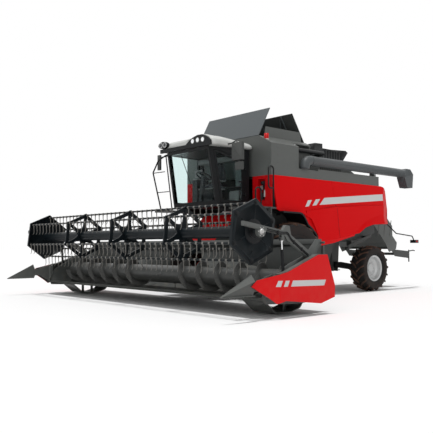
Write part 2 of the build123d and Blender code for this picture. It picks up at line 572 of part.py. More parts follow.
# A latch bar stands at the board's end, with its handle to the rear.
latch = block(REAR - 2760, REAR - 2730, board_y - BOARD_T, board_y, 720, 1085)
latch += at([(REAR - 2740, 1060), (REAR - 2990, 1085), (REAR_REACH, 1070), (REAR_REACH, 1042), (REAR - 2985, 1055),
             (REAR - 2740, 1030)], board_y - BOARD_T, board_y)
cross = block(REAR - 2200, REAR - 2160, -board_y + 2, board_y - 2, 930, 1000)
cross += block(REAR - 2740, REAR - 2700, -board_y + 2, board_y - 2, 960, 1000)
keep("spreader_board", tail + latch + mirrored(tail + latch) + cross)
LAMP_Y = BODY_HALF - 200
lamp_path = [(REAR - 794.8, LAMP_Y - 75, 1850), (REAR - 900, LAMP_Y - 75, 1850), (REAR - 1050, LAMP_Y - 20, 1720),
             (REAR - 1300, LAMP_Y, 1560), (REAR - 2140, LAMP_Y, 1490), (REAR - 2220, LAMP_Y, 1390)]
arm = pipe(lamp_path, 60, 16)
lamp = block(REAR - 2340, REAR - 2180, LAMP_Y - 90, LAMP_Y + 90, 1290, 1380)
keep("tail_lamps", pair(arm + lamp))

# ======================= Cab =======================
def cab_solid(inset):
    """The cab's outside, with level top and floor and a screen that leans out, drawn in all round."""
    front = inset * 1.02
    low, high = CAB_FLOOR + inset, CAB_TOP - inset
    lean = (CAB_FRONT_HIGH - CAB_FRONT_LOW) / (CAB_TOP - CAB_FLOOR)
    side = [(CAB_REAR + inset, low), (CAB_FRONT_LOW - front + lean * inset, low),
            (CAB_FRONT_HIGH - front - lean * inset, high), (CAB_REAR + inset, high)]
    reach = CAB_FRONT_HIGH + 100
    rear_half = CAB_HALF_REAR - inset
    front_half = rear_half - CAB_TAPER * (reach - CAB_REAR)
    plan = [(CAB_REAR, -rear_half), (reach, -front_half), (reach, front_half), (CAB_REAR, rear_half)]
    return at(side, -CAB_HALF_REAR, CAB_HALF_REAR) & standing(plan, CAB_FLOOR, CAB_TOP)


WINDOW_TOP = CAB_TOP - 70
SILL_FRONT, SILL_SIDE, SILL_REAR = 2230, 2260, 2600     # lower edges of the windows


def screen_cut(gap):
    low, high = 715 - gap, 695 - gap
    return across([(-low, SILL_FRONT + gap), (low, SILL_FRONT + gap), (high, WINDOW_TOP - gap), (-high, WINDOW_TOP - gap)],
                  CAB_FRONT_LOW - 150, CAB_FRONT_HIGH + 100)


def side_cut(gap):
    return at([(950 + gap, SILL_SIDE + gap), (1670 - gap, SILL_SIDE + gap), (1865 - gap, WINDOW_TOP - gap),
               (950 + gap, WINDOW_TOP - gap)], -CAB_HALF_REAR - 50, -CAB_HALF_REAR + 260)


def rear_cut(gap):
    half = 700 - gap
    return across([(-half, SILL_REAR + gap), (half, SILL_REAR + gap), (half, WINDOW_TOP - gap), (-half, WINDOW_TOP - gap)],
                  CAB_REAR - 50, CAB_REAR + CAB_WALL + 50)


DOOR_REAR = 985
DOOR_GAP = 12
DOOR_T = 30


def door_cut(gap):
    """The doorway's prism, drawn in by gap at each edge."""
    return at([(DOOR_REAR + gap, 2180 + gap), (1650 - gap, 2180 + gap), (1845 - gap, WINDOW_TOP - gap),
               (1700, WINDOW_TOP - gap), (DOOR_REAR + gap, 3190 - gap)], CAB_HALF_REAR - 260, CAB_HALF_REAR + 50)


cab_shell = cab_solid(0) - cab_solid(CAB_WALL) - screen_cut(0) - side_cut(0) - rear_cut(0) - door_cut(0)
cab_stand = block(860, 1600, -700, -660, 2000, CAB_FLOOR) + block(860, 1600, 660, 700, 2000, CAB_FLOOR)
cab_link = block(BODY_FRONT - SKIN, CAB_REAR + 5, -700, 700, 2120, 2240)
pane = cab_solid(CAB_WALL / 2) - cab_solid(CAB_WALL / 2 + GLASS_T)
keep("cab_glass", pane & screen_cut(SEAT), pane & side_cut(SEAT), pane & rear_cut(SEAT))

# The door hangs on two hinges outside its rear edge: a knuckle of the cab under one of the door.
HINGE_X, HINGE_Y, HINGE_R = DOOR_REAR - 13, CAB_HALF_REAR + 15, 13
KNUCKLE_H = 40
door_leaf = (cab_solid(0) - cab_solid(DOOR_T)) & door_cut(DOOR_GAP)
DOOR_FRAME = 55
door_frame = door_leaf - door_cut(DOOR_GAP + DOOR_FRAME)
door_pane = (cab_solid(DOOR_T / 2) - cab_solid(DOOR_T / 2 + GLASS_T)) & door_cut(DOOR_GAP + DOOR_FRAME + SEAT)
for z in (2380, 3000):
    upper = z + KNUCKLE_H + SEAT
    cab_shell += Pos(HINGE_X, HINGE_Y, z) * Cylinder(HINGE_R, KNUCKLE_H)
    cab_shell += block(HINGE_X - 30, HINGE_X, HINGE_Y - 40, HINGE_Y, z - KNUCKLE_H / 2, z + KNUCKLE_H / 2)
    door_frame += Pos(HINGE_X, HINGE_Y, upper) * Cylinder(HINGE_R, KNUCKLE_H)
    door_frame += block(HINGE_X, HINGE_X + 68, HINGE_Y - 27, HINGE_Y - 3, upper - KNUCKLE_H / 2, upper + KNUCKLE_H / 2)
    door_frame += block(HINGE_X + 33, HINGE_X + 68, HINGE_Y - 50, HINGE_Y - 20, upper - KNUCKLE_H / 2,
                        upper + KNUCKLE_H / 2)
keep("cab_shell", cab_shell + cab_stand + cab_link)
keep("door_frame", door_frame)
keep("door_glass", door_pane)

# Roof: a side outline, a section and a plan in common, with a hump behind the lamps on the left.
roof_base = CAB_TOP + SEAT
RIM_LOW = roof_base + 20
roof = at([(ROOF_REAR, RIM_LOW), (ROOF_FRONT, RIM_LOW), (ROOF_FRONT, ROOF_TOP - 65), (ROOF_FRONT - 60, ROOF_TOP - 10),
           (ROOF_FRONT - 300, ROOF_TOP), (ROOF_REAR + 60, ROOF_TOP - 65), (ROOF_REAR, ROOF_TOP - 120)],
          -ROOF_HALF, ROOF_HALF)
roof &= across([(-ROOF_HALF, RIM_LOW), (ROOF_HALF, RIM_LOW), (ROOF_HALF, ROOF_TOP - 110),
                (ROOF_HALF - 45, ROOF_TOP - 45), (ROOF_HALF - 170, ROOF_TOP), (-ROOF_HALF + 170, ROOF_TOP),
                (-ROOF_HALF + 45, ROOF_TOP - 45), (-ROOF_HALF, ROOF_TOP - 110)], ROOF_REAR, ROOF_FRONT)
roof &= standing([(ROOF_REAR, -ROOF_HALF + 60), (ROOF_REAR + 60, -ROOF_HALF), (ROOF_FRONT - 60, -ROOF_HALF),
                  (ROOF_FRONT, -ROOF_HALF + 60), (ROOF_FRONT, ROOF_HALF - 60), (ROOF_FRONT - 60, ROOF_HALF),
                  (ROOF_REAR + 60, ROOF_HALF), (ROOF_REAR, ROOF_HALF - 60)], RIM_LOW, ROOF_TOP)
roof_lining = block(CAB_REAR, CAB_FRONT_HIGH - 20, -740, 740, roof_base, RIM_LOW + 1)
# columns: y and z of the hump over the lamps, from the middle of the cab to its left edge
ARCH = [(50, 3545), (130, 3600), (290, 3680), (470, 3722), (640, 3715), (800, 3645), (900, 3560)]


def hump(x, share):
    """Section of the hump at x, its height above the roof's edge scaled."""
    low = 3480
    return [(x, ARCH[0][0], low)] + [(x, y, low + (z - low) * share) for y, z in ARCH] + [(x, ARCH[-1][0], low)]


roof += skin([hump(ROOF_FRONT, 1.0), hump(ROOF_FRONT - 60, 1.03), hump(ROOF_FRONT - 500, 0.95), hump(ROOF_REAR + 200, 0.7)])
VISOR_T = 50
lamp_face = ROOF_FRONT + SEAT + VISOR_T
visor = across([(-ROOF_HALF + 30, roof_base - 5), (ROOF_HALF - 40, roof_base - 5), (ROOF_HALF - 50, ARCH[-1][1] - 40)]
               + [(y, z - 20) for y, z in ARCH[::-1]] + [(-ROOF_HALF + 30, ARCH[0][1] - 20)],
               ROOF_FRONT + SEAT, lamp_face)
POD_Y, POD_Z, POD_W, POD_H = -ROOF_HALF + 155, ROOF_TOP - 75, 180, 85
pod = across([(POD_Y + POD_W * math.cos(math.radians(a)), POD_Z + POD_H * math.sin(math.radians(a)))
              for a in range(0, 360, 30)], ROOF_FRONT + SEAT, lamp_face + 15)
visor += pod
# columns: y, z, radius and face of each roof lamp
LAMPS = [(300, 3580, 46, lamp_face), (475, 3588, 46, lamp_face), (650, 3580, 46, lamp_face),
         (POD_Y - 75, POD_Z, 56, lamp_face + 15), (POD_Y + 75, POD_Z, 56, lamp_face + 15)]
roof_lamps = []
for y, z, radius, face in LAMPS:
    visor -= rod((face - 25, y, z), (face + 5, y, z), radius)
    roof_lamps.append(rod((face - 25 + SEAT, y, z), (face + 4, y, z), radius - SEAT))
keep("cab_roof", roof + roof_lining)
keep("roof_visor", visor)
keep("roof_lamps", roof_lamps)

seat_base = block(1000, 1450, -250, 250, 2560, 2680)
seat_back = at([(1003, 2680 + SEAT), (1110, 2680 + SEAT), (1010, 3230), (920, 3230)], -230, 230)
seat_post = block(1080, 1360, -180, 180, CAB_FLOOR + CAB_WALL + SEAT, 2560 - SEAT)
keep("seat", seat_base, seat_back)
column = at([(1520, CAB_FLOOR + CAB_WALL + SEAT), (1600, CAB_FLOOR + CAB_WALL + SEAT), (1502, 2875), (1438, 2845)], -45, 45)
wheel_ring = Pos(1470, 0, 2860) * Rot(0, -25, 0) * (Cylinder(190, 26) - Cylinder(165, 40)
                                                   + Box(340, 40, 20) + Cylinder(50, 26))
console = block(1060, 1420, -480, -300, CAB_FLOOR + CAB_WALL + SEAT, 2800)
keep("steering_column", seat_post, column + wheel_ring, console)

# The left mirrors hang ahead of the door's sweep, on an arm from the roof's side.
MIRROR_X, MIRROR_Y = 1800, 1510
mirror_left = pipe([(1560, ROOF_HALF + SEAT, 3492), (1560, 1060, 3492), (MIRROR_X, MIRROR_Y - 40, 3480),
                    (MIRROR_X, MIRROR_Y, 3380)], 40, 16)
mirror_left += block(MIRROR_X - 38, MIRROR_X + 38, MIRROR_Y - 155, MIRROR_Y + 155, 3050, 3430)
mirror_left += block(MIRROR_X - 32, MIRROR_X + 32, MIRROR_Y - 60, MIRROR_Y + 150, 2840, 3010)
mirror_left += block(MIRROR_X - 10, MIRROR_X + 10, MIRROR_Y + 20, MIRROR_Y + 60, 3000, 3060)


def cab_side(x):
    """Half width of the cab at x."""
    return CAB_HALF_REAR - CAB_TAPER * (x - CAB_REAR)


BRACKET_X = 1820
bracket = pipe([(BRACKET_X, -cab_side(BRACKET_X - 14) - SEAT, 3402), (BRACKET_X, -1000, 3402),
                (BRACKET_X + 40, -1215, 3390)], 60, 14)
mirror_right = block(BRACKET_X + 20, BRACKET_X + 60, -1275, -1165, 3080, 3450)
keep("mirrors", mirror_left, bracket + mirror_right)

# ======================= Platform, ladder, rails =======================
PLATFORM_Z = 2080
platform = block(BODY_FRONT + SEAT, 1520, 890 + CAB_WALL / 2, BODY_HALF + 140, PLATFORM_Z - 40, PLATFORM_Z)
LADDER_X, LADDER_W = 960, 420
for x in (LADDER_X, LADDER_X + LADDER_W):
    platform += block(x - 20, x + 20, BODY_HALF + 100, BODY_HALF + 190, 560, PLATFORM_Z - 20)
for step in range(5):
    z = 580 + step * 330
    platform += block(LADDER_X, LADDER_X + LADDER_W, BODY_HALF + 90, BODY_HALF + 200, z, z + 30)
right_step = block(1300, 1900, -1350, -820, PLATFORM_Z - 40, PLATFORM_Z)
right_step += block(1300, 1600, -905, -700 - SEAT, PLATFORM_Z - 40, PLATFORM_Z - SEAT)
keep("platform", platform, right_step)

RAIL_R = 17
rail_y = BODY_HALF + 110
small_hoop = pipe([(1200, rail_y, PLATFORM_Z + SEAT), (1200, rail_y, 2490), (1370, rail_y, 2490),
                   (1370, rail_y, PLATFORM_Z + SEAT)], 80, RAIL_R)
tall_hoop = pipe([(800, rail_y, PLATFORM_Z + SEAT), (800, rail_y, 2990), (960, rail_y, 2990), (960, rail_y, 2500),
                  (812, rail_y, 2500)], 70, RAIL_R)
# The right-hand guard leans with the screen: two uprights joined by rungs.
GRAB_Y0, GRAB_Y1 = -1290, -850
grab_top = 1930
GRAB_LEAN = 0.27
foot = PLATFORM_Z + SEAT + RAIL_R * GRAB_LEAN


def grab_x(z):
    """Place of the guard's uprights at height z."""
    return 1750 + GRAB_LEAN * (z - PLATFORM_Z)


grab = pipe([(grab_x(foot), GRAB_Y0, foot), (grab_x(3010), GRAB_Y0, 3010), (1975, -1110, 3290),
             (grab_top, GRAB_Y1 - 20, 3400), (grab_top, -cab_side(grab_top - RAIL_R) - SEAT, 3400)], 50, RAIL_R)
grab += rod((grab_x(foot), GRAB_Y1, foot), (grab_top + 10, GRAB_Y1, 3385), RAIL_R - 3)
for z in (2530, 3000):
    grab += rod((grab_x(z), GRAB_Y0, z), (grab_x(z) - 25, GRAB_Y1, z), 10)
keep("handrails", small_hoop, tall_hoop, grab)

FENDER_Y0, FENDER_Y1 = BODY_HALF - 490, BODY_HALF + 110
fender_r = FRONT_TYRE_R + 22
fender_line = [(470, 1995), (-110, 1985), (-190, 1962), (-260, 1905), (-335, 1810)]
for degrees in range(116, 149, 6):
    turn = math.radians(degrees)
    fender_line.append((fender_r * math.cos(turn), front_z + fender_r * math.sin(turn)))
fender = at(strip(fender_line, -10), FENDER_Y0, FENDER_Y1)
fender += at(strip(fender_line, 28), FENDER_Y1 - 14, FENDER_Y1) + at(strip(fender_line, -10), FENDER_Y1 - 14, FENDER_Y1)
fender_stay = block(-60, 0, HULL_HALF + SEAT, FENDER_Y0 + 20, 1940, 1990)
keep("fenders", pair(fender + fender_stay))

beacon = Pos(640, BODY_HALF - 250, SHOULDER_Z + 150) * Cylinder(55, 200)
beacon -= across(tank_section(-SEAT), TANK_REAR, BODY_FRONT)
keep("beacon", beacon)

# ======================= Feeder house and header =======================
FEEDER = [(520, 1930), (900, 1960), (HEADER_BACK - SEAT, 1120), (HEADER_BACK - SEAT, 330), (1600, 380), (560, 1330)]
feeder = at(FEEDER, -FEEDER_HALF, FEEDER_HALF)
feeder -= at([(400, 1900), (890, 1930), (HEADER_BACK + 10, 1080), (HEADER_BACK + 10, 370), (1610, 415), (400, 1480)],
             -FEEDER_HALF + SHEET, FEEDER_HALF - SHEET)
for side in (1, -1):
    ys = sorted((side * (FEEDER_HALF - 5), side * (LUG_Y + 45)))
    feeder += rod((LUG_X, ys[0], LUG_Z), (LUG_X, ys[1], LUG_Z), EYE_PIN_R)
for side in (1, -1):
    ys = sorted((side * (FEEDER_HALF - 5), side * (FEEDER_HALF + 160)))
    feeder += rod((LIFT_X, ys[0], LIFT_Z), (LIFT_X, ys[1], LIFT_Z), LIFT_PIN_R)
keep("feeder_house", feeder)

FLOOR_T = 14
bar_seat = KNIFE_Z - SEAT - FLOOR_T
FLOOR = [(KNIFE_X + 55, bar_seat), (KNIFE_X - 30, bar_seat), (3160, 262), (AUGER_X + 150, 262),
         (AUGER_X - 120, 250), (AUGER_X - 320, 330), (HEADER_BACK + 130, 520), (HEADER_BACK + 40, 560)]
floor = at(strip(FLOOR, -FLOOR_T), -SIDE_OUT, SIDE_OUT)
back = block(HEADER_BACK, HEADER_BACK + 45, -SIDE_OUT, SIDE_OUT, 300, HEADER_TOP_Z)
back -= block(HEADER_BACK - 10, HEADER_BACK + 60, -FEEDER_HALF + 40, FEEDER_HALF - 40, 560, 1060)
top_tube = block(HEADER_BACK - 60, HEADER_BACK + 60, -SIDE_OUT, SIDE_OUT, HEADER_TOP_Z, HEADER_TOP_Z + 100)
low_tube = block(HEADER_BACK + 46, HEADER_BACK + 150, -SIDE_OUT, SIDE_OUT, 300, 400)
SIDE = [(HEADER_BACK - 60, 300), (HEADER_BACK - 60, HEADER_TOP_Z + 100), (HEADER_BACK + 90, HEADER_TOP_Z + 100),
        (2350, 1060), (2800, 900), (3300, 640), (KNIFE_X + 60, KNIFE_Z + 40), (KNIFE_X, 240), (2600, 200), (2100, 220)]
side_sheet = at(SIDE, CUT_HALF, SIDE_OUT)
side_sheet -= rod((AUGER_X, CUT_HALF - 1, AUGER_Z), (AUGER_X, SIDE_OUT + 1, AUGER_Z), AUGER_STUB_R + RUNNING)
# Spacers hold the end panel off the side sheet.
for x, z in ((2150, 400), (2150, 900), (3200, 450)):
    side_sheet += rod((x, SIDE_OUT - 2, z), (x, END_HALF - END_T - SEAT, z), 18)
header_frame = floor + back + top_tube + low_tube + side_sheet + mirrored(side_sheet)
# Skids: bent plates from under the floor, along the ground and up to the lower tube.
SKID_Y0, SKID_Y1, SKID_T = CUT_HALF - 750, CUT_HALF - 200, 18
SKID = [(3175, 251), (2925, 52), (2860, SKID_Z), (2500, SKID_Z), (2250, 90), (HEADER_BACK + 110, 305)]
skid = at(strip(SKID, -SKID_T), SKID_Y0, SKID_Y1)
for y in (SKID_Y0 + 40, SKID_Y1 - 60):
    skid += block(2600, 2660, y, y + 20, SKID_Z + 10, 255)
header_frame = header_frame + skid + mirrored(skid)
header_frame += rod((ARM_X, SIDE_OUT - 4, ARM_Z), (ARM_X, ARM_Y + ARM_T / 2 + 20, ARM_Z), 30)
header_frame += rod((ARM_X, -SIDE_OUT + 4, ARM_Z), (ARM_X, -ARM_Y - ARM_T / 2 - 20, ARM_Z), 30)
for side in (1, -1):
    ys = sorted((side * (SIDE_OUT - 4), side * (ARM_Y + 40)))
    header_frame += rod((REEL_BASE_X, ys[0], REEL_BASE_Z), (REEL_BASE_X, ys[1], REEL_BASE_Z), REEL_PIN_R)
keep("header_frame", header_frame)

END_OUT = [(3860, 560), (3740, 660), (3100, 780), (2300, 1060), (2070, 1060), (1860, 500), (1870, 300), (2260, 205),
           (3170, 300), (3370, 260), (3500, 350)]
bend = strip([(1800, END_HALF), (3300, END_HALF), (3900, END_HALF - 130)], -END_T)
end_panel = at(END_OUT, CUT_HALF, END_HALF + 5) & standing(bend, 0, 2000)
LEDGE = strip([(3740, 646), (3100, 766), (2300, 1046), (2070, 1046)], -22)
ledge = at(LEDGE, ARM_Y + ARM_T / 2 + 25, END_HALF - END_T - SEAT)
ledge -= at([(3300, 0), (3900, 0), (3900, 2000), (3300, 2000)], END_HALF - 130, END_HALF)
keep("header_ends", pair(end_panel))

# Crop divider: an upright web, a flange that slopes down outside it, and a toothed plate at its foot.
TIP_Y, TIP_BASE, TIP_T = CUT_HALF + 150, 3840, 12
DIVIDER = [(TIP_X, TIP_Z), (TIP_BASE, 755), (3795, 640), (3790, 475), (3815, 408), (TIP_X - 30, TIP_Z - 12)]
divider = at(DIVIDER, TIP_Y - TIP_T, TIP_Y)
divider += skin([
    [(TIP_BASE, TIP_Y - TIP_T, 755), (TIP_BASE, TIP_Y + 80, 652), (TIP_BASE, TIP_Y + 80, 640),
     (TIP_BASE, TIP_Y - TIP_T, 735)],
    [(TIP_X - 4, TIP_Y - TIP_T, TIP_Z + 2), (TIP_X - 4, TIP_Y + 6, TIP_Z - 4), (TIP_X - 4, TIP_Y + 6, TIP_Z - 9),
     (TIP_X - 4, TIP_Y - TIP_T, TIP_Z - 8)],
])
TEETH, TOOTH_PITCH = 6, 75
foot_plate = [(TIP_X - 30, TIP_Y - TIP_T), (TIP_X - 60, TIP_Y + 8)]
for i in range(TEETH):
    x = TIP_X - 130 - TOOTH_PITCH * i
    foot_plate += [(x, TIP_Y + 14 + 9 * i), (x - 12, TIP_Y + 34 + 9 * i), (x - 34, TIP_Y + 16 + 9 * i)]
foot_plate += [(3815, TIP_Y + 66), (3815, TIP_Y - TIP_T)]
divider += standing(foot_plate, 408, 420)
neck = at([(3350, 310), (3640, 470), (3800, 476), (3800, 630), (3725, 632), (3350, 745)], TIP_Y - 30, TIP_Y)
neck += at([(3350, 330), (3420, 370), (3420, 700), (3350, 720)], SIDE_OUT + SEAT, TIP_Y - 5)
keep("dividers", pair(divider + neck + ledge))

# Cutter bar: a row of pointed guards on a flat bar.
guards = []
count = int(2 * CUT_HALF / GUARD_PITCH)
first = -GUARD_PITCH * count / 2
bar_front = KNIFE_X + 60
outline = [(KNIFE_X - 18, -CUT_HALF + SEAT)]
for i in range(count):
    y = first + i * GUARD_PITCH
    outline += [(bar_front, y + 0.26 * GUARD_PITCH), (bar_front + GUARD_LEN, y + 0.5 * GUARD_PITCH),
                (bar_front, y + 0.74 * GUARD_PITCH)]
outline.append((KNIFE_X - 18, CUT_HALF - SEAT))
keep("cutter_bar", standing(outline, KNIFE_Z, KNIFE_Z + 22))

# Header auger: flights wind inwards from both ends, with fingers in the middle.
def flight(start_y, end_y, hand):
    """Helical strip as flat facets: twelve to a turn, its inner edge inside the tube."""
    turns = abs(end_y - start_y) / FLIGHT_PITCH
    steps = int(12 * turns)
    rows = []
    for i in range(steps + 1):
        angle = hand * 2 * math.pi * i / 12
        y = start_y + (end_y - start_y) * i / steps
        c, s = math.cos(angle), math.sin(angle)
        rows.append([(AUGER_X + r * c, y + dy, AUGER_Z + r * s)
                     for r, dy in ((AUGER_TUBE_R - 15, -5), (FLIGHT_R, -4), (FLIGHT_R, 4), (AUGER_TUBE_R - 15, 5))])
    return skin(rows)


auger_half = CUT_HALF - 12
auger = rod((AUGER_X, -auger_half, AUGER_Z), (AUGER_X, auger_half, AUGER_Z), AUGER_TUBE_R)
auger += rod((AUGER_X, -SIDE_OUT + 2, AUGER_Z), (AUGER_X, SIDE_OUT - 2, AUGER_Z), AUGER_STUB_R)
auger += flight(auger_half - 8, 620, 1)
auger += flight(-auger_half + 8, -620, -1)
for i in range(8):
    angle = math.radians(45 + 135 * i)
    y = -490 + 140 * i
    reach = FLIGHT_R - 10
    auger += rod((AUGER_X + 100 * math.cos(angle), y, AUGER_Z + 100 * math.sin(angle)),
                 (AUGER_X + reach * math.cos(angle), y, AUGER_Z + reach * math.sin(angle)), 9)
keep("header_auger", auger)

# ======================= Reel =======================
def corner(i, radius=TINE_CIRCLE_R):
    """Place of the reel's corner i, as (x, z)."""
    angle = math.radians(90 + REEL_TURN + 360 / BARS * i)
    return REEL_X + radius * math.cos(angle), REEL_Z + radius * math.sin(angle)


def hexagon(radius, y0, y1):
    """Six-sided plate on the reel's axis."""
    return at([corner(i, radius) for i in range(BARS)], y0, y1)


# Each end shield is a pan, with its rim turned inwards and a raised ridge on its outer face.
RIDGE_R, RIDGE_H = 505, 5
shield = hexagon(SHIELD_R, REEL_HALF - SHIELD_RIM, REEL_HALF)
shield -= hexagon(SHIELD_R - 8, REEL_HALF - SHIELD_RIM - 1, REEL_HALF - SHIELD_T)
shield += hexagon(RIDGE_R, REEL_HALF - 1, REEL_HALF + RIDGE_H) - hexagon(RIDGE_R - 22, REEL_HALF - 2, REEL_HALF + 9)
reel = rod((REEL_X, -REEL_HALF + 1, REEL_Z), (REEL_X, REEL_HALF - 1, REEL_Z), REEL_TUBE_R)
reel += shield
reel += mirrored(shield)

bay = 2 * (REEL_HALF - SHIELD_T) / BAYS
EYE_R = TINE_BAR / 2 + RUNNING + 20
RING_W, SPOKE_ROOT, SPOKE_END = 75, 38, 29
VALLEY_R, SPOKE_FOOT_R = 150, 235


def spoke_point(turn, radius, aside):
    """Point at a radius along a spoke and a distance beside it, as (x, z)."""
    c, s = math.cos(turn), math.sin(turn)
    return REEL_X + radius * c - aside * s, REEL_Z + radius * s + aside * c


star = []
for i in range(BARS):
    turn = math.radians(90 + REEL_TURN + 360 / BARS * i)
    star += [spoke_point(turn - math.pi / BARS, VALLEY_R, 0), spoke_point(turn, SPOKE_FOOT_R, -SPOKE_ROOT),
             spoke_point(turn, TINE_CIRCLE_R - 5, -SPOKE_END), spoke_point(turn, TINE_CIRCLE_R - 5, SPOKE_END),
             spoke_point(turn, SPOKE_FOOT_R, SPOKE_ROOT)]
for k in range(1, BAYS):
    y = -REEL_HALF + SHIELD_T + bay * k
    y0, y1 = y - SPIDER_T / 2, y + SPIDER_T / 2
    outer_r = TINE_CIRCLE_R + 30
    spider = hexagon(outer_r, y0, y1) - hexagon(outer_r - RING_W / math.cos(math.pi / BARS), y0 - 1, y1 + 1)
    spider += at(star, y0, y1)
    for i in range(BARS):
        x, z = corner(i)
        spider += rod((x, y0, z), (x, y1, z), EYE_R)
    for i in range(BARS):
        x, z = corner(i)
        spider -= rod((x, y0 - 1, z), (x, y1 + 1, z), TINE_BAR / 2 + RUNNING)
    reel += spider
for side in (1, -1):
    ys = sorted((side * (REEL_HALF - 2), side * (ARM_Y + 30)))
    reel += rod((REEL_X, ys[0], REEL_Z), (REEL_X, ys[1], REEL_Z), 28)
keep("reel_frame", reel)


def tine_bar(i):
    """Bar at one corner of the reel, with its tines hanging straight down."""
    x, z = corner(i)
    half = REEL_HALF - SHIELD_T - 6
    bar = rod((x, -half, z), (x, half, z), TINE_BAR / 2)
    for k in range(BAYS):
        for t in range(TINES_PER_BAY):
            y = -REEL_HALF + SHIELD_T + bay * (k + (t + 0.5) / TINES_PER_BAY)
            bar += at([(x + 12, z), (x - 1, z - 0.66 * TINE_LEN), (x + 22, z - TINE_LEN), (x - 20, z - 0.70 * TINE_LEN),
                       (x - 8, z - 0.35 * TINE_LEN), (x - 14, z)], y - 5, y + 5)
    return bar


for i in range(BARS):
    keep("tine_bar_" + str(i + 1), tine_bar(i))

# Reel arms: cranked beams outside the shields, each with a bearing for the reel's shaft.
ARM = [(3990, 1545), (3990, 1620), (3060, 1480), (2990, 1570), (2900, 1560), (2860, 1400), (2320, 1090),
       (2300, 1000), (2370, 985), (2960, 1310), (3020, 1390)]
arm_y0, arm_y1 = ARM_Y - ARM_T / 2, ARM_Y + ARM_T / 2
reel_arm = at(ARM, arm_y0, arm_y1)
reel_arm += rod((REEL_X, arm_y0 + 5, REEL_Z), (REEL_X, arm_y1 - 5, REEL_Z), 95)
reel_arm -= rod((REEL_X, arm_y0 - 1, REEL_Z), (REEL_X, arm_y1 + 60, REEL_Z), 28 + RUNNING)
reel_arm -= rod((ARM_X, arm_y0 - 1, ARM_Z), (ARM_X, arm_y1 + 1, ARM_Z), 30 + RUNNING)
EYE_W = 28                          # width of the rod's eye between the arm's two ears
reel_arm += block(REEL_EYE_X - 35, REEL_EYE_X + 25, arm_y0, arm_y1, REEL_EYE_Z - 25, REEL_EYE_Z + 130)
reel_arm -= block(REEL_EYE_X - 120, REEL_EYE_X + 120, ARM_Y - EYE_W / 2 - 2, ARM_Y + EYE_W / 2 + 2,
                  REEL_EYE_Z - 100, REEL_EYE_Z + 60)
reel_arm += rod((REEL_EYE_X, arm_y0 + 2, REEL_EYE_Z), (REEL_EYE_X, arm_y1 - 2, REEL_EYE_Z), REEL_PIN_R)
keep("reel_arms", pair(reel_arm))


# ======================= Cylinders =======================
def cylinder_parts(low, high, y, barrel_r, rod_r, eye_w, hole_low, hole_high, barrel_share):
    """Barrel with its lower eye, and rod with its upper eye, between two pins given as (x, z)."""
    start, end = Vector(low[0], y, low[1]), Vector(high[0], y, high[1])
    along = (end - start).normalized()
    length = (end - start).length
    neck_at = start + along * (barrel_share * length)
    barrel = rod(tuple(start + along * barrel_r), tuple(neck_at), barrel_r)
    eye = rod((low[0], y - eye_w / 2, low[1]), (low[0], y + eye_w / 2, low[1]), barrel_r)
    bore_cut = rod(tuple(start + along * (1.6 * barrel_r)), tuple(neck_at + along * 5), rod_r + RUNNING)
    barrel = barrel + eye - bore_cut
    barrel -= rod((low[0], y - eye_w, low[1]), (low[0], y + eye_w, low[1]), hole_low)
    shaft = rod(tuple(start + along * (0.45 * length)), tuple(end - along * (hole_high + 2)), rod_r)
    shaft += rod((high[0], y - eye_w / 2, high[1]), (high[0], y + eye_w / 2, high[1]), hole_high + 16)
    shaft -= rod((high[0], y - eye_w, high[1]), (high[0], y + eye_w, high[1]), hole_high)
    return barrel, shaft


lift_barrel, lift_rod = cylinder_parts((BASE_X, BASE_Z), (LUG_X, LUG_Z), LUG_Y, 55, 30, 2 * EAR_GAP - 4,
                                       EYE_PIN_R + RUNNING, EYE_PIN_R + DRIFT, 0.72)
keep("lift_barrels", pair(lift_barrel))
keep("lift_rods", pair(lift_rod))
reel_barrel, reel_rod = cylinder_parts((REEL_BASE_X, REEL_BASE_Z), (REEL_EYE_X, REEL_EYE_Z), ARM_Y, 28, 14, EYE_W,
                                       REEL_PIN_R + RUNNING, REEL_PIN_R + DRIFT, 0.72)
keep("reel_lift_barrels", pair(reel_barrel))
keep("reel_lift_rods", pair(reel_rod))

# ======================= Unloading auger =======================
# A mitred elbow of four cuts turns the tube level, and a flanged boot hangs at its end.
bend_steps = 4
tube_path = [(SPOUT_PIVOT_X, SPOUT_PIVOT_Y, NICHE_FLOOR + SEAT)]
for i in range(bend_steps + 1):
    turn = math.pi / 2 * i / bend_steps
    tube_path.append((SPOUT_PIVOT_X - SPOUT_BEND * (1 - math.cos(turn)), SPOUT_PIVOT_Y,
                      SPOUT_TUBE_Z - SPOUT_BEND * (1 - math.sin(turn))))
tube_path.append((SPOUT_END + 250, SPOUT_PIVOT_Y, SPOUT_TUBE_Z))
tube_line = Polyline(*tube_path)
tube_end = Plane(origin=tube_line @ 0, z_dir=tube_line % 0)
unloader = sweep(tube_end * Circle(SPOUT_TUBE_R), path=tube_line, transition=Transition.RIGHT)
flange_x = SPOUT_PIVOT_X - SPOUT_BEND - 40
unloader += rod((flange_x, SPOUT_PIVOT_Y, SPOUT_TUBE_Z), (flange_x - 20, SPOUT_PIVOT_Y, SPOUT_TUBE_Z), SPOUT_TUBE_R + 10)
mouth_half = SPOUT_TUBE_R + 8
spout = at([(SPOUT_END + 450, 3130), (SPOUT_END + 370, 3374), (SPOUT_END + 150, 3374), (SPOUT_END, 3240),
            (SPOUT_END + 50, 2850), (SPOUT_END + 320, 2850)], SPOUT_PIVOT_Y - mouth_half, SPOUT_PIVOT_Y + mouth_half)
spout -= at([(SPOUT_END + 330, 3080), (SPOUT_END + 26, 3180), (SPOUT_END + 64, 2800), (SPOUT_END + 306, 2800)],
            SPOUT_PIVOT_Y - mouth_half + 14, SPOUT_PIVOT_Y + mouth_half - 14)
keep("unloading_auger", unloader + spout)

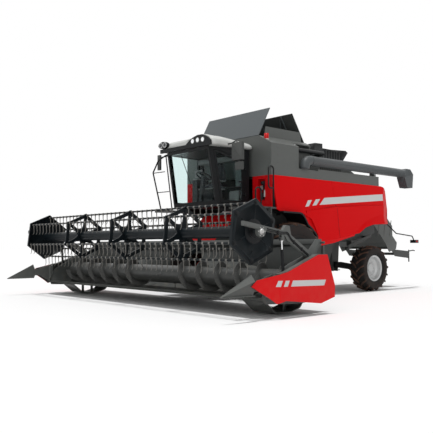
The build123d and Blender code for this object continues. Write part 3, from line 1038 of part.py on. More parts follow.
# ======================= Files =======================
os.makedirs("parts", exist_ok=True)
for name, shape in nodes.items():
    export_step(shape, "parts/" + name + ".step")
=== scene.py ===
"""Looks of a combine harvester with its cutting header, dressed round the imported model.

Metres, X forward, Y to the left, Z up. Each new piece is a closed shell worked out with numpy: loops of
points carried along a path, turned about an axis, or raised from an outline. A finish is a material
whose dust, wear and relief come from shared node groups. The tools come first, then the finishes, then
the pieces from the wheels to the sculpted side, and last the studio and the camera.
"""
import json
import math

import bmesh
import bpy
import numpy as np
from mathutils import Matrix, Vector
from mathutils.geometry import tessellate_polygon


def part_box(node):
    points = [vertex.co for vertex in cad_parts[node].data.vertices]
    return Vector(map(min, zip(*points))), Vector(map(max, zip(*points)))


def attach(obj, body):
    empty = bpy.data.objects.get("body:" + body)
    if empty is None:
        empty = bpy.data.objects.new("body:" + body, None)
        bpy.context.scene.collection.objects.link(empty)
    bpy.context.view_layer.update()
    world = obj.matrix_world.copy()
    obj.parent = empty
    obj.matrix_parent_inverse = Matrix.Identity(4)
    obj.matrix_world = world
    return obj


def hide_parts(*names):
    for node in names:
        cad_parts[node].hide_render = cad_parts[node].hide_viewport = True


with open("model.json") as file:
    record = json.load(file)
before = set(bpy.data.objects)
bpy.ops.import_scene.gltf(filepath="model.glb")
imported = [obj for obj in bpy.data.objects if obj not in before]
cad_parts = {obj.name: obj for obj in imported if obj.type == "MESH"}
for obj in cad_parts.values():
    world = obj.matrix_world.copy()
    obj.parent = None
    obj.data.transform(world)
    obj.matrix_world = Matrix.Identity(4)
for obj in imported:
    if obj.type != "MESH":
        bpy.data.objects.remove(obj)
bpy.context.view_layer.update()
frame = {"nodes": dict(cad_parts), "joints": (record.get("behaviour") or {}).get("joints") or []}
NODES = frame["nodes"]
JOINTS = {joint["name"]: joint for joint in frame["joints"]}


def pivot(name):
    """Place of a joint's axis."""
    return np.array(JOINTS[name]["pos_m"], float)


def box(node):
    """Lowest and highest corner of a node, to a tenth of a millimetre."""
    return np.round(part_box(node), 4)


AXLE_X = pivot("wheel_front_left_spin")[0]
BODY_SIDE = box("grain_tank")[1][1]     # outer face of the tank and of the side panels
PROUD = 0.0002                          # gap that keeps a thin strip off the sheet below it


def from_axle(points):
    """Points whose x is counted from the front axle, in the shared frame."""
    return np.asarray(points, float) + np.array((AXLE_X, 0, 0))


# ======================= Forms =======================

def unit(vector):
    """Vectors scaled to a length of 1."""
    vector = np.asarray(vector, float)
    return vector / np.linalg.norm(vector, axis=-1, keepdims=True)


def volume(points, faces):
    """Volume closed in by faces: the sum over triangles of p . (q x r) / 6."""
    total = 0.0
    for face in faces:
        for k in range(1, face.shape[1] - 1):
            p, q, r = points[face[:, 0]], points[face[:, k]], points[face[:, k + 1]]
            total += np.einsum("ij,ij->", p, np.cross(q, r)) / 6
    return total


def winding(outline, up):
    """Twice the area that an outline goes round, above 0 where it runs anticlockwise about up."""
    return np.sum(np.cross(outline, np.roll(outline, -1, 0)) @ up)


def inset(outline, up, distance):
    """Outline moved inwards in its plane: each corner along its mitre (n1 + n2) / (1 + n1.n2)."""
    ahead = unit(np.roll(outline, -1, 0) - outline)
    side = np.cross(up, ahead)
    before = np.roll(side, 1, 0)
    mitre = (side + before) / (1 + np.sum(side * before, 1, keepdims=True))
    return outline + np.sign(winding(outline, up)) * distance * mitre


def grid(count, around, wrap=False):
    """Numbers of a grid's points with its first column again at the end, and the quads between its rows."""
    index = np.arange(count * around).reshape(count, around)
    index = np.hstack((index, index[:, :1]))
    joined = np.vstack((index, index[:1])) if wrap else index
    quads = np.stack((joined[:-1, :-1], joined[1:, :-1], joined[1:, 1:], joined[:-1, 1:]), -1)
    return index, quads.reshape(-1, 4)


class Form:
    """Points and faces of one piece; each closed shell that goes in is turned to face outwards."""

    def __init__(self):
        self.points, self.faces, self.marks, self.count = [], [], [], 0

    def put(self, points, faces, mark):
        """Adds a closed shell: its points, its faces as arrays of point numbers, and its mark."""
        if volume(points, faces) < 0:
            faces = [face[:, ::-1] for face in faces]
        self.points.append(points)
        self.faces += [face + self.count for face in faces]
        self.marks.append(np.broadcast_to(mark, (len(points),)).astype(float))
        self.count += len(points)
        return self

    def shell(self, rows, wrap=False, mark=0.0):
        """Closed surface through loops of points, an array (rows, around, 3); fans close its ends.
        With wrap, the last loop joins the first. A mark is one value, or one for each point."""
        rows = np.asarray(rows, float)
        count, around = rows.shape[:2]
        index, quads = grid(count, around, wrap)
        faces, points = [quads], rows.reshape(-1, 3)
        mark = np.broadcast_to(mark, (count, around)).reshape(-1)
        if not wrap:
            points = np.vstack((points, rows[0].mean(0), rows[-1].mean(0)))
            mark = np.append(mark, (mark[0], mark[-1]))
            for row, hub, turn in ((0, count * around, 1), (count - 1, count * around + 1, -1)):
                ring = index[row]
                faces.append(np.stack((ring[:-1], ring[1:], np.full(around, hub)), -1)[:, ::turn])
        return self.put(points, faces, mark)

    def plate(self, outline, depth, ease=0.0):
        """Flat sheet: an outline of points raised by a vector, its rim eased on both sides."""
        outline, depth = np.asarray(outline, float), np.asarray(depth, float)
        thick = np.linalg.norm(depth)
        up = depth / thick
        if ease:
            small = inset(outline, up, ease)
            rows = np.stack((small, outline + up * ease, outline + up * (thick - ease), small + depth))
        else:
            rows = np.stack((outline, outline + depth))
        count, around = rows.shape[:2]
        lid = np.array(tessellate_polygon([[Vector(point) for point in outline]]))
        first, second, third = outline[lid[:, 0]], outline[lid[:, 1]], outline[lid[:, 2]]
        down = np.cross(second - first, third - first) @ up < 0
        lid[down] = lid[down][:, ::-1]
        if winding(outline, up) < 0:
            lid = lid[:, ::-1]
        faces = [grid(count, around)[1], lid, lid[:, ::-1] + (count - 1) * around]
        return self.put(rows.reshape(-1, 3), faces, 0.0)

    def bar(self, low, high, ease=0.003):
        """Block between two corners with eased edges."""
        low, high = np.minimum(low, high), np.maximum(low, high)
        outline = [(x, y, low[2]) for x, y in ((low[0], low[1]), (high[0], low[1]), (high[0], high[1]),
                                               (low[0], high[1]))]
        return self.plate(outline, (0, 0, high[2] - low[2]), min(ease, 0.3 * min(high - low)))

    def bars(self, rows):
        """Blocks given as rows of (low corner, high corner, ease)."""
        for low, high, ease in rows:
            self.bar(low, high, ease)
        return self

    def tube(self, path, radius, around=12, mark=0.0):
        """Circle carried along a path; the radius is one value, or one for each of the path's points."""
        return self.shell(carried(path, circle(around), radius), mark=mark)

    def turned(self, profile, centre, axis, around=48, wrap=False, mark=0.0):
        """Profile of (along, radius) turned about an axis through a centre."""
        profile = np.asarray(profile, float)
        along, a, b = frame_of(axis)
        ring = circle(around)
        circles = ring[:, :1] * a + ring[:, 1:] * b
        rows = centre + profile[:, :1, None] * along + profile[:, 1:, None] * circles
        return self.shell(rows, wrap=wrap, mark=mark if np.isscalar(mark) else np.asarray(mark)[:, None])

    def bolts(self, places, axis, radius=0.012, height=0.009):
        """Hexagon heads, each with a washer, at places on a face whose outward direction is the axis."""
        washer = 1.45 * radius
        for place in np.atleast_2d(places):
            self.turned(((-0.002, washer), (0.25 * height, washer)), place, axis, 12)
            self.turned(((0, radius), (0.8 * height, radius), (height, 0.75 * radius)), place, axis, 6)
        return self

    def mirrored(self):
        """Adds the same shells on the machine's other side."""
        starts = np.cumsum([0] + [len(points) for points in self.points])
        for points, mark, start in list(zip(self.points, self.marks, starts)):
            own = [faces - start for faces in self.faces if start <= faces.min() < start + len(points)]
            self.put(points * (1, -1, 1), own, mark)
        return self


def sleeve(length, bore, radius):
    """Profile of a short tube for turned(..., wrap=True), from -length to length along its axis."""
    return ((-length, bore), (-length, radius), (length, radius), (length, bore))


def circle(around):
    """Points of the unit circle, as (across, up)."""
    turn = 2 * np.pi * np.arange(around) / around
    return np.stack((np.cos(turn), np.sin(turn)), 1)


def around_y(centre, reach, turn):
    """Places at a reach from a centre, at angles about the Y axis."""
    return centre + reach * np.stack((np.cos(turn), 0 * turn, np.sin(turn)), 1)


def frame_of(axis):
    """A direction and two more at right angles to it."""
    along = unit(axis)
    a = unit(np.cross(along, (0, 0, 1) if abs(along[2]) < 0.9 else (1, 0, 0)))
    return along, a, np.cross(along, a)


def carried(path, section, scale=1.0):
    """Section of (across, up) carried along a path with the least twist: at each point the last across
    vector loses its part along the path, across - along * (across . along), and is scaled to 1."""
    path = np.asarray(path, float)
    ahead = unit(np.gradient(path, axis=0))
    scale = np.broadcast_to(scale, (len(path),))
    across = frame_of(ahead[0])[1]
    rows = []
    for place, along, size in zip(path, ahead, scale):
        across = unit(across - along * np.dot(across, along))
        rows.append(place + size * (section[:, :1] * across + section[:, 1:] * np.cross(along, across)))
    return np.array(rows)


def rounded(points, bend, steps=6):
    """Path of straight runs whose corners are eased by quadratic arcs that start a bend away."""
    points = np.asarray(points, float)
    out = [points[0]]
    t = np.linspace(0, 1, steps)[:, None]
    for before, corner, after in zip(points, points[1:], points[2:]):
        reach = min(bend, 0.49 * np.linalg.norm(corner - before), 0.49 * np.linalg.norm(after - corner))
        start, end = corner - unit(corner - before) * reach, corner + unit(after - corner) * reach
        out += list((1 - t) ** 2 * start + 2 * t * (1 - t) * corner + t ** 2 * end)
    return np.array(out + [points[-1]])


def softened(points, passes=2):
    """Open line with its corners cut again and again, at a quarter and three quarters of each run."""
    points = np.asarray(points, float)
    for _ in range(passes):
        cut = np.stack((0.75 * points[:-1] + 0.25 * points[1:], 0.25 * points[:-1] + 0.75 * points[1:]), 1)
        points = np.vstack((points[:1], cut.reshape(-1, points.shape[1]), points[-1:]))
    return points


def seated(name, mesh, material, body, hides=(), smooth=35):
    """Makes a mesh into a smooth-shaded object that rides on a body and takes its finish from a slot."""
    mesh.shade_smooth()
    mesh.set_sharp_from_angle(angle=math.radians(smooth))
    mesh.materials.clear()
    mesh.materials.append(material)
    made = bpy.data.objects.new(name, mesh)
    bpy.context.scene.collection.objects.link(made)
    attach(made, body)
    if hides:
        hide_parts(*hides)
    return made


def piece(name, form, body, material, hides=(), smooth=35):
    """Makes a form into a mesh, with its marks as an attribute, and seats it."""
    mesh = bpy.data.meshes.new(name)
    points = np.vstack(form.points)
    sizes = np.concatenate([np.full(len(face), face.shape[1]) for face in form.faces])
    corners = np.concatenate([face.reshape(-1) for face in form.faces])
    mesh.vertices.add(len(points))
    mesh.vertices.foreach_set("co", points.reshape(-1))
    mesh.loops.add(len(corners))
    mesh.loops.foreach_set("vertex_index", corners)
    mesh.polygons.add(len(sizes))
    mesh.polygons.foreach_set("loop_start", np.append(0, np.cumsum(sizes)[:-1]))
    mesh.update(calc_edges=True)
    marks = np.concatenate(form.marks)
    if marks.any():
        mesh.attributes.new("mark", "FLOAT", "POINT").data.foreach_set("value", marks)
    return seated(name, mesh, material, body, hides, smooth)


# ======================= Shader groups =======================

def new_group(name, inputs, outputs):
    """Empty node group with float, colour or vector sockets, given as (name, kind, default)."""
    group = bpy.data.node_groups.new(name, "ShaderNodeTree")
    for label, kind, default in inputs:
        item = group.interface.new_socket(name=label, in_out="INPUT", socket_type="NodeSocket" + kind)
        item.default_value = default
    for label, kind in outputs:
        group.interface.new_socket(name=label, in_out="OUTPUT", socket_type="NodeSocket" + kind)
    return group, group.nodes.new("NodeGroupInput"), group.nodes.new("NodeGroupOutput")


def set_inputs(node, **values):
    """Sets inputs of a node to plain values; an underscore stands for the space in an input's name."""
    for key, value in values.items():
        node.inputs[key.replace("_", " ")].default_value = value


def add(tree, kind, **settings):
    """New node; a setting whose name starts with a capital letter is an input's value."""
    node = tree.nodes.new("ShaderNode" + kind)
    for key, value in settings.items():
        if key[0].isupper():
            set_inputs(node, **{key: value})
        else:
            setattr(node, key, value)
    return node


def feed(tree, slot, value):
    """Links a socket to a slot, or sets the slot to a plain value."""
    if isinstance(value, bpy.types.NodeSocket):
        tree.links.new(value, slot)
    else:
        slot.default_value = value


def maths(tree, operation, a, b):
    """Math node on two sockets or numbers."""
    node = add(tree, "Math", operation=operation)
    for slot, value in zip(node.inputs, (a, b)):
        feed(tree, slot, value)
    return node.outputs[0]


def times(tree, first, *others):
    """Product of sockets and numbers."""
    for other in others:
        first = maths(tree, "MULTIPLY", first, other)
    return first


def plus(tree, first, *others):
    """Sum of sockets and numbers."""
    for other in others:
        first = maths(tree, "ADD", first, other)
    return first


def ramp(tree, source, low, high):
    """Smooth step of a value between two thresholds."""
    node = add(tree, "MapRange", interpolation_type="SMOOTHSTEP", From_Min=low, From_Max=high)
    tree.links.new(source, node.inputs["Value"])
    return node.outputs["Result"]


def mix_colour(tree, factor, a, b):
    """Colour mixed from a to b by a factor; each is a socket or a colour."""
    node = add(tree, "Mix", data_type="RGBA")
    for slot, value in ((node.inputs[0], factor), (node.inputs[6], a), (node.inputs[7], b)):
        feed(tree, slot, value)
    return node.outputs[2]


def object_noise(tree, scale, detail=3.0, roughness=0.6):
    """Noise over the object's own coordinates."""
    node = add(tree, "TexNoise", Detail=detail, Roughness=roughness)
    tree.links.new(add(tree, "TexCoord").outputs["Object"], node.inputs["Vector"])
    feed(tree, node.inputs["Scale"], scale)
    return node.outputs["Fac"]


def parts_of(tree):
    """X, Y and Z of the surface's normal, and of its place in the object's coordinates."""
    normal, place = add(tree, "SeparateXYZ"), add(tree, "SeparateXYZ")
    tree.links.new(add(tree, "NewGeometry").outputs["Normal"], normal.inputs[0])
    tree.links.new(add(tree, "TexCoord").outputs["Object"], place.inputs[0])
    return normal, place


DUST_COLOUR = (0.30, 0.25, 0.18, 1)


def weathering_group():
    """Dust = (0.6 * nearness to the ground + 0.5 * how far a face looks up) * broad noise * the Dust input;
    scuffs = mark * (0.35 + fine noise) * the Wear input; and a faint mottling of the base colour."""
    group, gin, gout = new_group(
        "weathering",
        [("Base", "Color", (0.5, 0.5, 0.5, 1)), ("Edge", "Color", (0.4, 0.4, 0.4, 1)), ("Dust", "Float", 0.3),
         ("Wear", "Float", 0.2), ("Mottle", "Float", 0.1), ("Rough", "Float", 0.4), ("Scale", "Float", 6.0)],
        [("Color", "Color"), ("Roughness", "Float"), ("Height", "Float")])
    broad = object_noise(group, gin.outputs["Scale"])
    fine = object_noise(group, times(group, gin.outputs["Scale"], 14.0), 4.0, 0.7)
    normal, place = parts_of(group)
    low = ramp(group, place.outputs["Z"], 1.2, 0.1)
    upward = ramp(group, normal.outputs["Z"], 0.55, 1.0)
    dusty = plus(group, times(group, low, 0.6), times(group, upward, 0.5))
    dusty = times(group, dusty, ramp(group, broad, 0.35, 0.75), gin.outputs["Dust"])
    mark = add(group, "Attribute", attribute_name="mark")
    scuffed = plus(group, 0.35, ramp(group, fine, 0.40, 0.62))
    worn = maths(group, "MINIMUM", times(group, mark.outputs["Fac"], scuffed, gin.outputs["Wear"]), 1.0)
    shade = times(group, maths(group, "SUBTRACT", broad, 0.5), gin.outputs["Mottle"])
    tone = add(group, "HueSaturation")
    group.links.new(plus(group, shade, 1.0), tone.inputs["Value"])
    group.links.new(gin.outputs["Base"], tone.inputs["Color"])
    colour = mix_colour(group, worn, tone.outputs["Color"], gin.outputs["Edge"])
    colour = mix_colour(group, dusty, colour, DUST_COLOUR)
    group.links.new(colour, gout.inputs["Color"])
    rough = plus(group, gin.outputs["Rough"], times(group, dusty, 0.4), times(group, shade, 0.5))
    group.links.new(rough, gout.inputs["Roughness"])
    group.links.new(fine, gout.inputs["Height"])
    return group


def grain_group():
    """Moulded pebble or weave: cells of a Voronoi pattern over the object's coordinates, as a height."""
    group, gin, gout = new_group("grain", [("Scale", "Float", 400.0), ("Base Height", "Float", 0.0)],
                                 [("Height", "Float")])
    cells = add(group, "TexVoronoi")
    group.links.new(add(group, "TexCoord").outputs["Object"], cells.inputs["Vector"])
    group.links.new(gin.outputs["Scale"], cells.inputs["Scale"])
    height = plus(group, cells.outputs["Distance"], gin.outputs["Base Height"])
    group.links.new(height, gout.inputs["Height"])
    return group


WEATHERING = weathering_group()
GRAIN = grain_group()


def placed(tree, group, **values):
    """Shared node group placed in a material with its own values."""
    node = tree.nodes.new("ShaderNodeGroup")
    node.node_tree = group
    set_inputs(node, **values)
    return node


def within(tree, value, low, high):
    """1 where a value lies between two bounds, else 0."""
    return times(tree, maths(tree, "GREATER_THAN", value, low), maths(tree, "LESS_THAN", value, high))


# Markings of a header end: spans of x from the front axle at their top edge, their height and lean
BAR_SPANS = ((3.25, 3.35), (3.08, 3.18), (2.12, 3.00))
BAR_LOW, BAR_HIGH, BAR_LEAN = 0.54, 0.64, 0.5
BAR_FALL, BAR_FRONT = 0.02, 3.35        # the band falls towards the front by this share


def facing_group():
    """Masks from the surface's place and direction: Outward, where it faces away from the machine's middle
    plane; Upward; and Bars, where x + lean * (z - top) lies within a span and z between the two edges."""
    group, _, gout = new_group("facing", [], [("Outward", "Float"), ("Upward", "Float"), ("Bars", "Float")])
    normal, place = parts_of(group)
    across = times(group, maths(group, "SIGN", place.outputs["Y"], 0.0), normal.outputs["Y"])
    group.links.new(maths(group, "GREATER_THAN", across, -0.2), gout.inputs["Outward"])
    group.links.new(ramp(group, normal.outputs["Z"], 0.35, 0.55), gout.inputs["Upward"])
    x = maths(group, "SUBTRACT", place.outputs["X"], AXLE_X)
    fall = times(group, maths(group, "SUBTRACT", BAR_FRONT, x), BAR_FALL)
    z = plus(group, place.outputs["Z"], fall)
    slant = plus(group, x, times(group, maths(group, "SUBTRACT", z, BAR_HIGH), BAR_LEAN))
    bars = plus(group, *(within(group, slant, low, high) for low, high in BAR_SPANS))
    bars = times(group, bars, within(group, z, BAR_LOW, BAR_HIGH), maths(group, "GREATER_THAN", across, 0.9))
    group.links.new(bars, gout.inputs["Bars"])
    return group


def new_material(name):
    """Material with nodes: itself, its tree and its Principled shader."""
    material = bpy.data.materials.new(name)
    material.use_nodes = True
    return material, material.node_tree, material.node_tree.nodes["Principled BSDF"]


def aged_shader(tree, shader, **values):
    """Weathering group whose colour and roughness feed a shader."""
    aged = placed(tree, WEATHERING, **values)
    tree.links.new(aged.outputs["Color"], shader.inputs["Base Color"])
    tree.links.new(aged.outputs["Roughness"], shader.inputs["Roughness"])
    return aged


def finish(name, colour, rough=0.4, metal=0.0, coat=0.0, specular=0.3, dust=0.2, wear=0.0,
           edge=(0.4, 0.4, 0.4), mottle=0.10, scale=6.0, bump=0.2, grain=0.0, glow=0.0):
    """Painted, moulded or bare surface with dust, worn edges and a fine relief; grain is a moulded pebble."""
    material, tree, shader = new_material(name)
    aged = aged_shader(tree, shader, Base=(*colour, 1), Edge=(*edge, 1), Dust=dust, Wear=wear,
                       Mottle=mottle, Rough=rough, Scale=scale)
    set_inputs(shader, Metallic=metal, Specular_IOR_Level=specular, Coat_Weight=coat, Coat_Roughness=0.08)
    if glow:
        set_inputs(shader, Emission_Color=(*colour, 1), Emission_Strength=glow)
    relief = add(tree, "Bump", Strength=bump, Distance=0.001)
    height = aged.outputs["Height"]
    if grain:
        pebble = placed(tree, GRAIN, Scale=grain)
        tree.links.new(height, pebble.inputs["Base Height"])
        height = pebble.outputs["Height"]
    tree.links.new(height, relief.inputs["Height"])
    tree.links.new(relief.outputs["Normal"], shader.inputs["Normal"])
    return material


def parted(name, first, second, mask, third=None, **settings):
    """Finish of two colours parted by a mask of the facing group, with a third colour on the bars."""
    material = finish(name, first, **settings)
    tree = material.node_tree
    facing = placed(tree, FACING)
    colour = mix_colour(tree, facing.outputs[mask], (*second, 1), (*first, 1))
    if third:
        colour = mix_colour(tree, facing.outputs["Bars"], colour, (*third, 1))
    aged = next(node for node in tree.nodes if node.type == "GROUP" and node.node_tree == WEATHERING)
    tree.links.new(colour, aged.inputs["Base"])
    return material


def glass(name, tint, rough=0.02):
    """Tinted pane: clear transmission with a thin film of dust."""
    material, tree, shader = new_material(name)
    set_inputs(shader, Transmission_Weight=1.0, IOR=1.12)
    aged_shader(tree, shader, Base=(*tint, 1), Dust=0.12, Wear=0.0, Mottle=0.04, Rough=rough, Scale=3.0)
    return material


FACING = facing_group()
RED = finish("red_enamel", (0.70, 0.003, 0.005), rough=0.42, coat=0.01, specular=0.04, dust=0.05,
             mottle=0.05)
# The body's red made darker for the end panels: painted shade.
SHADED_RED = finish("deep_red_enamel", (0.50, 0.003, 0.005), rough=0.45, coat=0.02, specular=0.06, dust=0.08)
CHARCOAL = finish("charcoal_enamel", (0.096, 0.102, 0.097), rough=0.45, coat=0.05, dust=0.1)
DARK = finish("hull_charcoal", (0.050, 0.053, 0.051), rough=0.5, dust=0.2)
SLATE = finish("slate_sheet", (0.086, 0.097, 0.102), rough=0.48, dust=0.1)
SPOUT = finish("spout_grey", (0.068, 0.075, 0.078), rough=0.45, dust=0.1)
BLACK = finish("black_enamel", (0.006, 0.007, 0.008), rough=0.42, specular=0.18, dust=0.05)
REEL_BLACK = finish("reel_black", (0.005, 0.008, 0.010), rough=0.40, specular=0.16, dust=0.03)
SOOT = finish("soot_black", (0.006, 0.006, 0.007), rough=0.7, dust=0.1)
GREY = finish("header_grey", (0.068, 0.073, 0.070), rough=0.42, wear=0.4, dust=0.2, mottle=0.2)
AUGER_GREY = finish("auger_grey", (0.045, 0.048, 0.047), rough=0.36, wear=1.0,
                    edge=(0.14, 0.14, 0.135), dust=0.12, mottle=0.25)
STEEL = finish("worn_steel", (0.42, 0.42, 0.41), rough=0.35, metal=0.9)
CHROME = finish("rod_chrome", (0.78, 0.78, 0.78), rough=0.12, metal=1.0, dust=0.03)
SILVER = finish("silver_rim", (0.52, 0.53, 0.53), rough=0.38, metal=0.25, coat=0.1, dust=0.15)
STRIPE = finish("silver_stripe", (0.60, 0.61, 0.61), rough=0.35, metal=0.15, dust=0.03, mottle=0.10,
                scale=2.0)
WHITE = finish("roof_white", (0.60, 0.61, 0.59), rough=0.42, coat=0.1, dust=0.08)
# The marks put this finish's brown edge colour on the lugs' edges.
RUBBER = finish("tyre_rubber", (0.009, 0.009, 0.0095), rough=0.75, specular=0.2, dust=0.10, wear=0.8,
                edge=(0.125, 0.062, 0.040), mottle=0.3, scale=9.0, bump=0.5)
FABRIC = finish("seat_cloth", (0.03, 0.032, 0.036), rough=0.9, dust=0.05, grain=900.0, bump=0.8)
PLASTIC = finish("grained_plastic", (0.017, 0.018, 0.020), rough=0.55, grain=500.0, bump=0.4, dust=0.08)
CABIN_GREY = finish("cabin_grey", (0.16, 0.165, 0.165), rough=0.7, grain=300.0, dust=0.04)
TINE = finish("tine_plastic", (0.165, 0.158, 0.145), rough=0.5, dust=0.15, mottle=0.2)
DARK_LENS = finish("dark_lens", (0.02, 0.022, 0.025), rough=0.15, coat=0.4, dust=0.02)
LENS = finish("lamp_lens", (0.80, 0.82, 0.83), rough=0.12, coat=0.6, dust=0.02, glow=0.25)
RED_LENS = finish("red_lens", (0.55, 0.006, 0.006), rough=0.25, coat=0.15, specular=0.1, dust=0.02)
END_RED = parted("header_end_enamel", (0.68, 0.009, 0.011), (0.062, 0.066, 0.064), "Outward",
                 (0.60, 0.61, 0.61), rough=0.42, coat=0.02, specular=0.08, dust=0.10, mottle=0.05)
# The feeder's red is lighter than the body's: painted light that makes up for the shade under the cab. Faces
# that look up take the red, the others a dark grey.
LIT_FEEDER_RED = parted("feeder_enamel", (0.80, 0.006, 0.009), (0.040, 0.042, 0.041), "Upward",
                    rough=0.42, specular=0.08, dust=0.05)
MIRROR = finish("mirror_glass", (0.8, 0.8, 0.8), rough=0.04, metal=1.0, dust=0.02)
GLASS = glass("tinted_glass", (0.84, 0.93, 0.925))

NODE_FINISH = {
    "hull": DARK, "axles": BLACK, "side_panels": RED, "end_panels": SHADED_RED, "grain_tank": CHARCOAL,
    "engine_deck": CHARCOAL, "engine": SOOT, "air_intake": BLACK, "straw_hood": CHARCOAL,
    "spreader_board": DARK, "tail_lamps": BLACK, "cab_shell": BLACK, "cab_roof": WHITE, "roof_visor": BLACK,
    "roof_lamps": LENS, "cab_glass": GLASS, "seat": FABRIC, "steering_column": PLASTIC, "mirrors": DARK,
    "platform": DARK, "handrails": SOOT, "fenders": SOOT, "beacon": RED_LENS, "feeder_house": LIT_FEEDER_RED,
    "header_frame": GREY, "header_ends": END_RED, "dividers": CHARCOAL, "cutter_bar": GREY,
    "lift_barrels": BLACK, "lift_rods": CHROME, "reel_arms": CHARCOAL, "reel_lift_barrels": BLACK,
    "reel_lift_rods": CHROME, "reel_frame": REEL_BLACK, "header_auger": AUGER_GREY,
    "unloading_auger": SPOUT, "tank_flap_front": SLATE, "tank_flap_rear": DARK, "door_frame": BLACK,
    "door_glass": GLASS,
}
# Nodes that come in sets, by the start of their names
SET_FINISH = {"tyre": RUBBER, "rim": SILVER, "knuckle": BLACK, "tine": BLACK}
for name, node in NODES.items():
    for slot in node.material_slots:
        slot.material = SET_FINISH.get(name.split("_")[0]) or NODE_FINISH[name]


# ======================= Tyres and rims =======================
RIM_SHARE, FLANGE_H = 0.64, 0.026               # the rim's width as a share of the tyre's; its flange
LUG_H, LUG_START = 0.042, -np.pi / 2 - 0.033    # height, and angle of the first lug


def tyre_form(centre, side, radius, width, rim, lugs):
    """Ring turned about the axle, its section a closed line of beads, bulging walls and a crowned tread.
    Lugs start at the middle in turn from either side and sweep outwards, slightly bowed:
    angle = start + slant * (share + 0.1 * sin(pi * share))."""
    half, depth, tread = width / 2, radius - rim, radius - LUG_H
    bead = half * RIM_SHARE
    wall = softened([(bead, rim + 0.002), (half + 0.006, rim + 0.30 * depth),
                     (half + 0.002, rim + 0.62 * depth), (0.93 * half, tread - 0.08 * depth),
                     (0.62 * half, tread), (0.2 * half, tread)])
    low_in = np.array([(bead - 0.02, rim + 0.004), (0.85 * half, rim + 0.4 * depth),
                       (0.6 * half, tread - 0.05)])
    profile = np.vstack((wall, wall[::-1] * (-1, 1), low_in * (-1, 1), low_in[::-1]))
    form = Form().turned(profile, centre, (0, side, 0), 108, wrap=True,
                         mark=np.where(np.abs(np.abs(profile[:, 0]) - half) < 0.02, 0.12, 0.0))
    for y, ring_r in ((half - 0.004, rim + 0.34 * depth), (half - 0.002, rim + 0.45 * depth)):
        for hand in (-1, 1):
            form.turned((hand * y, ring_r) + 0.006 * circle(6), centre, (0, side, 0), 72, wrap=True)
    share = np.linspace(0, 1, 10)           # along a lug, from the middle to its outer end
    slant = 0.75 * half / radius
    top = radius - 0.13 * depth * share ** 1.6
    foot = tread - 0.012 - (0.22 * depth - 0.012) * share ** 1.6
    # columns: angle from the lug's middle, height from foot to top, place between foot and top width, share
    # of the brown edge colour
    section = ((-0.050, 0.0, 0.0, 0.2), (-0.037, 0.82, 1.0, 0.9), (-0.030, 1.0, 1.0, 0.9),
               (0.030, 1.0, 1.0, 0.25), (0.037, 0.82, 1.0, 0.9), (0.050, 0.0, 0.0, 0.2))
    marks = np.broadcast_to([row[3] for row in section], (len(share), len(section)))
    for i in range(lugs):
        for hand, shift in ((1, 0.0), (-1, 0.5)):
            start = LUG_START + 2 * np.pi * (i + shift) / lugs
            bow = start + slant * (share + 0.10 * np.sin(np.pi * share))
            rows = []
            for angle, high, wide, _ in section:
                r = foot + high * (top - foot)
                y = hand * half * (0.02 + (0.86 + 0.105 * wide) * share)
                turn = bow + angle * (1 + 0.25 * share)
                rows.append(np.stack((r * np.cos(turn), side * y, r * np.sin(turn)), 1))
            form.shell(centre + np.stack(rows, 1), mark=marks)
    return form


def rim_form(centre, side, width, rim, dish, hub, nuts):
    """Barrel with rolled flanges, a dished disc with a raised ring, and a hub, turned about the axle."""
    half, out = width / 2 * RIM_SHARE, rim - 0.0006
    lip = out + FLANGE_H
    outer = [(half, out), (half + 0.016, lip), (half + 0.022, lip + 0.003), (half + 0.028, lip)]
    inner = [(half + 0.012, out - 0.014), (half - 0.03, out - 0.022), (dish + 0.06, out - 0.040)]
    profile = np.array(outer + inner)
    barrel = np.vstack((profile, profile[::-1] * (-1, 1)))
    # a smooth bowl from the barrel in to the nut circle, then out again to the hub
    bowl = softened([(dish + 0.066, out - 0.028), (dish + 0.050, 0.86 * out), (dish + 0.012, 0.76 * out),
                     (dish + 0.004, 0.64 * out), (dish + 0.022, 0.58 * out), (dish + 0.020, 0.46 * out),
                     (dish + 0.004, 0.40 * out)], 1)
    hub_line = [(dish + 0.006, hub + 0.045), (dish + 0.034, hub + 0.038), (dish + 0.042, hub + 0.028),
                (dish + 0.042, 0.004)]
    back = [(dish - 0.03, 0.004), (dish - 0.03, 0.60 * out), (dish + 0.02, out - 0.034)]
    form = Form().turned(barrel, centre, (0, side, 0), 96, wrap=True)
    form.turned(np.vstack((bowl, hub_line, back)), centre, (0, side, 0), 96, wrap=True)
    turn = 2 * np.pi * np.arange(nuts) / nuts
    face, hub_face = (centre + (0, side * (dish + out_by), 0) for out_by in (0.021, 0.042))
    form.bolts(around_y(face, 0.52 * out, turn), (0, side, 0), 0.015, 0.016)
    return form.bolts(around_y(hub_face, hub + 0.012, turn[::2]), (0, side, 0), 0.007, 0.006)


# columns: end, tyre's radius and width, rim's radius, lugs on each half, disc's and hub's place and radius
WHEELS = (("front", 0.890, 0.650, 0.420, 18, 0.040, 0.13), ("rear", 0.610, 0.460, 0.318, 17, 0.020, 0.075))
WHEEL_NUTS = 10
for end, radius, width, rim, lugs, dish, hub in WHEELS:
    for hand, side in (("left", 1), ("right", -1)):
        name, body = end + "_" + hand, "wheel_" + end + "_" + hand
        centre = pivot(body + "_spin")
        tyre = tyre_form(centre, side, radius, width, rim, lugs)
        piece("tyre_form_" + name, tyre, body, RUBBER, ["tyre_" + name], 28)
        disc = rim_form(centre, side, width, rim, dish, hub, WHEEL_NUTS)
        piece("rim_form_" + name, disc, body, SILVER, ["rim_" + name], 30)

# ======================= Reel =======================
REEL = pivot("reel_spin")
TINE_CIRCLE_R = 0.490
HALF_REEL = 3.735
SHIELD_Y = HALF_REEL + 0.010            # outer face of the end shields
FIRST_CORNER = 97                       # degrees from forward to the first tine bar
TINES = 44


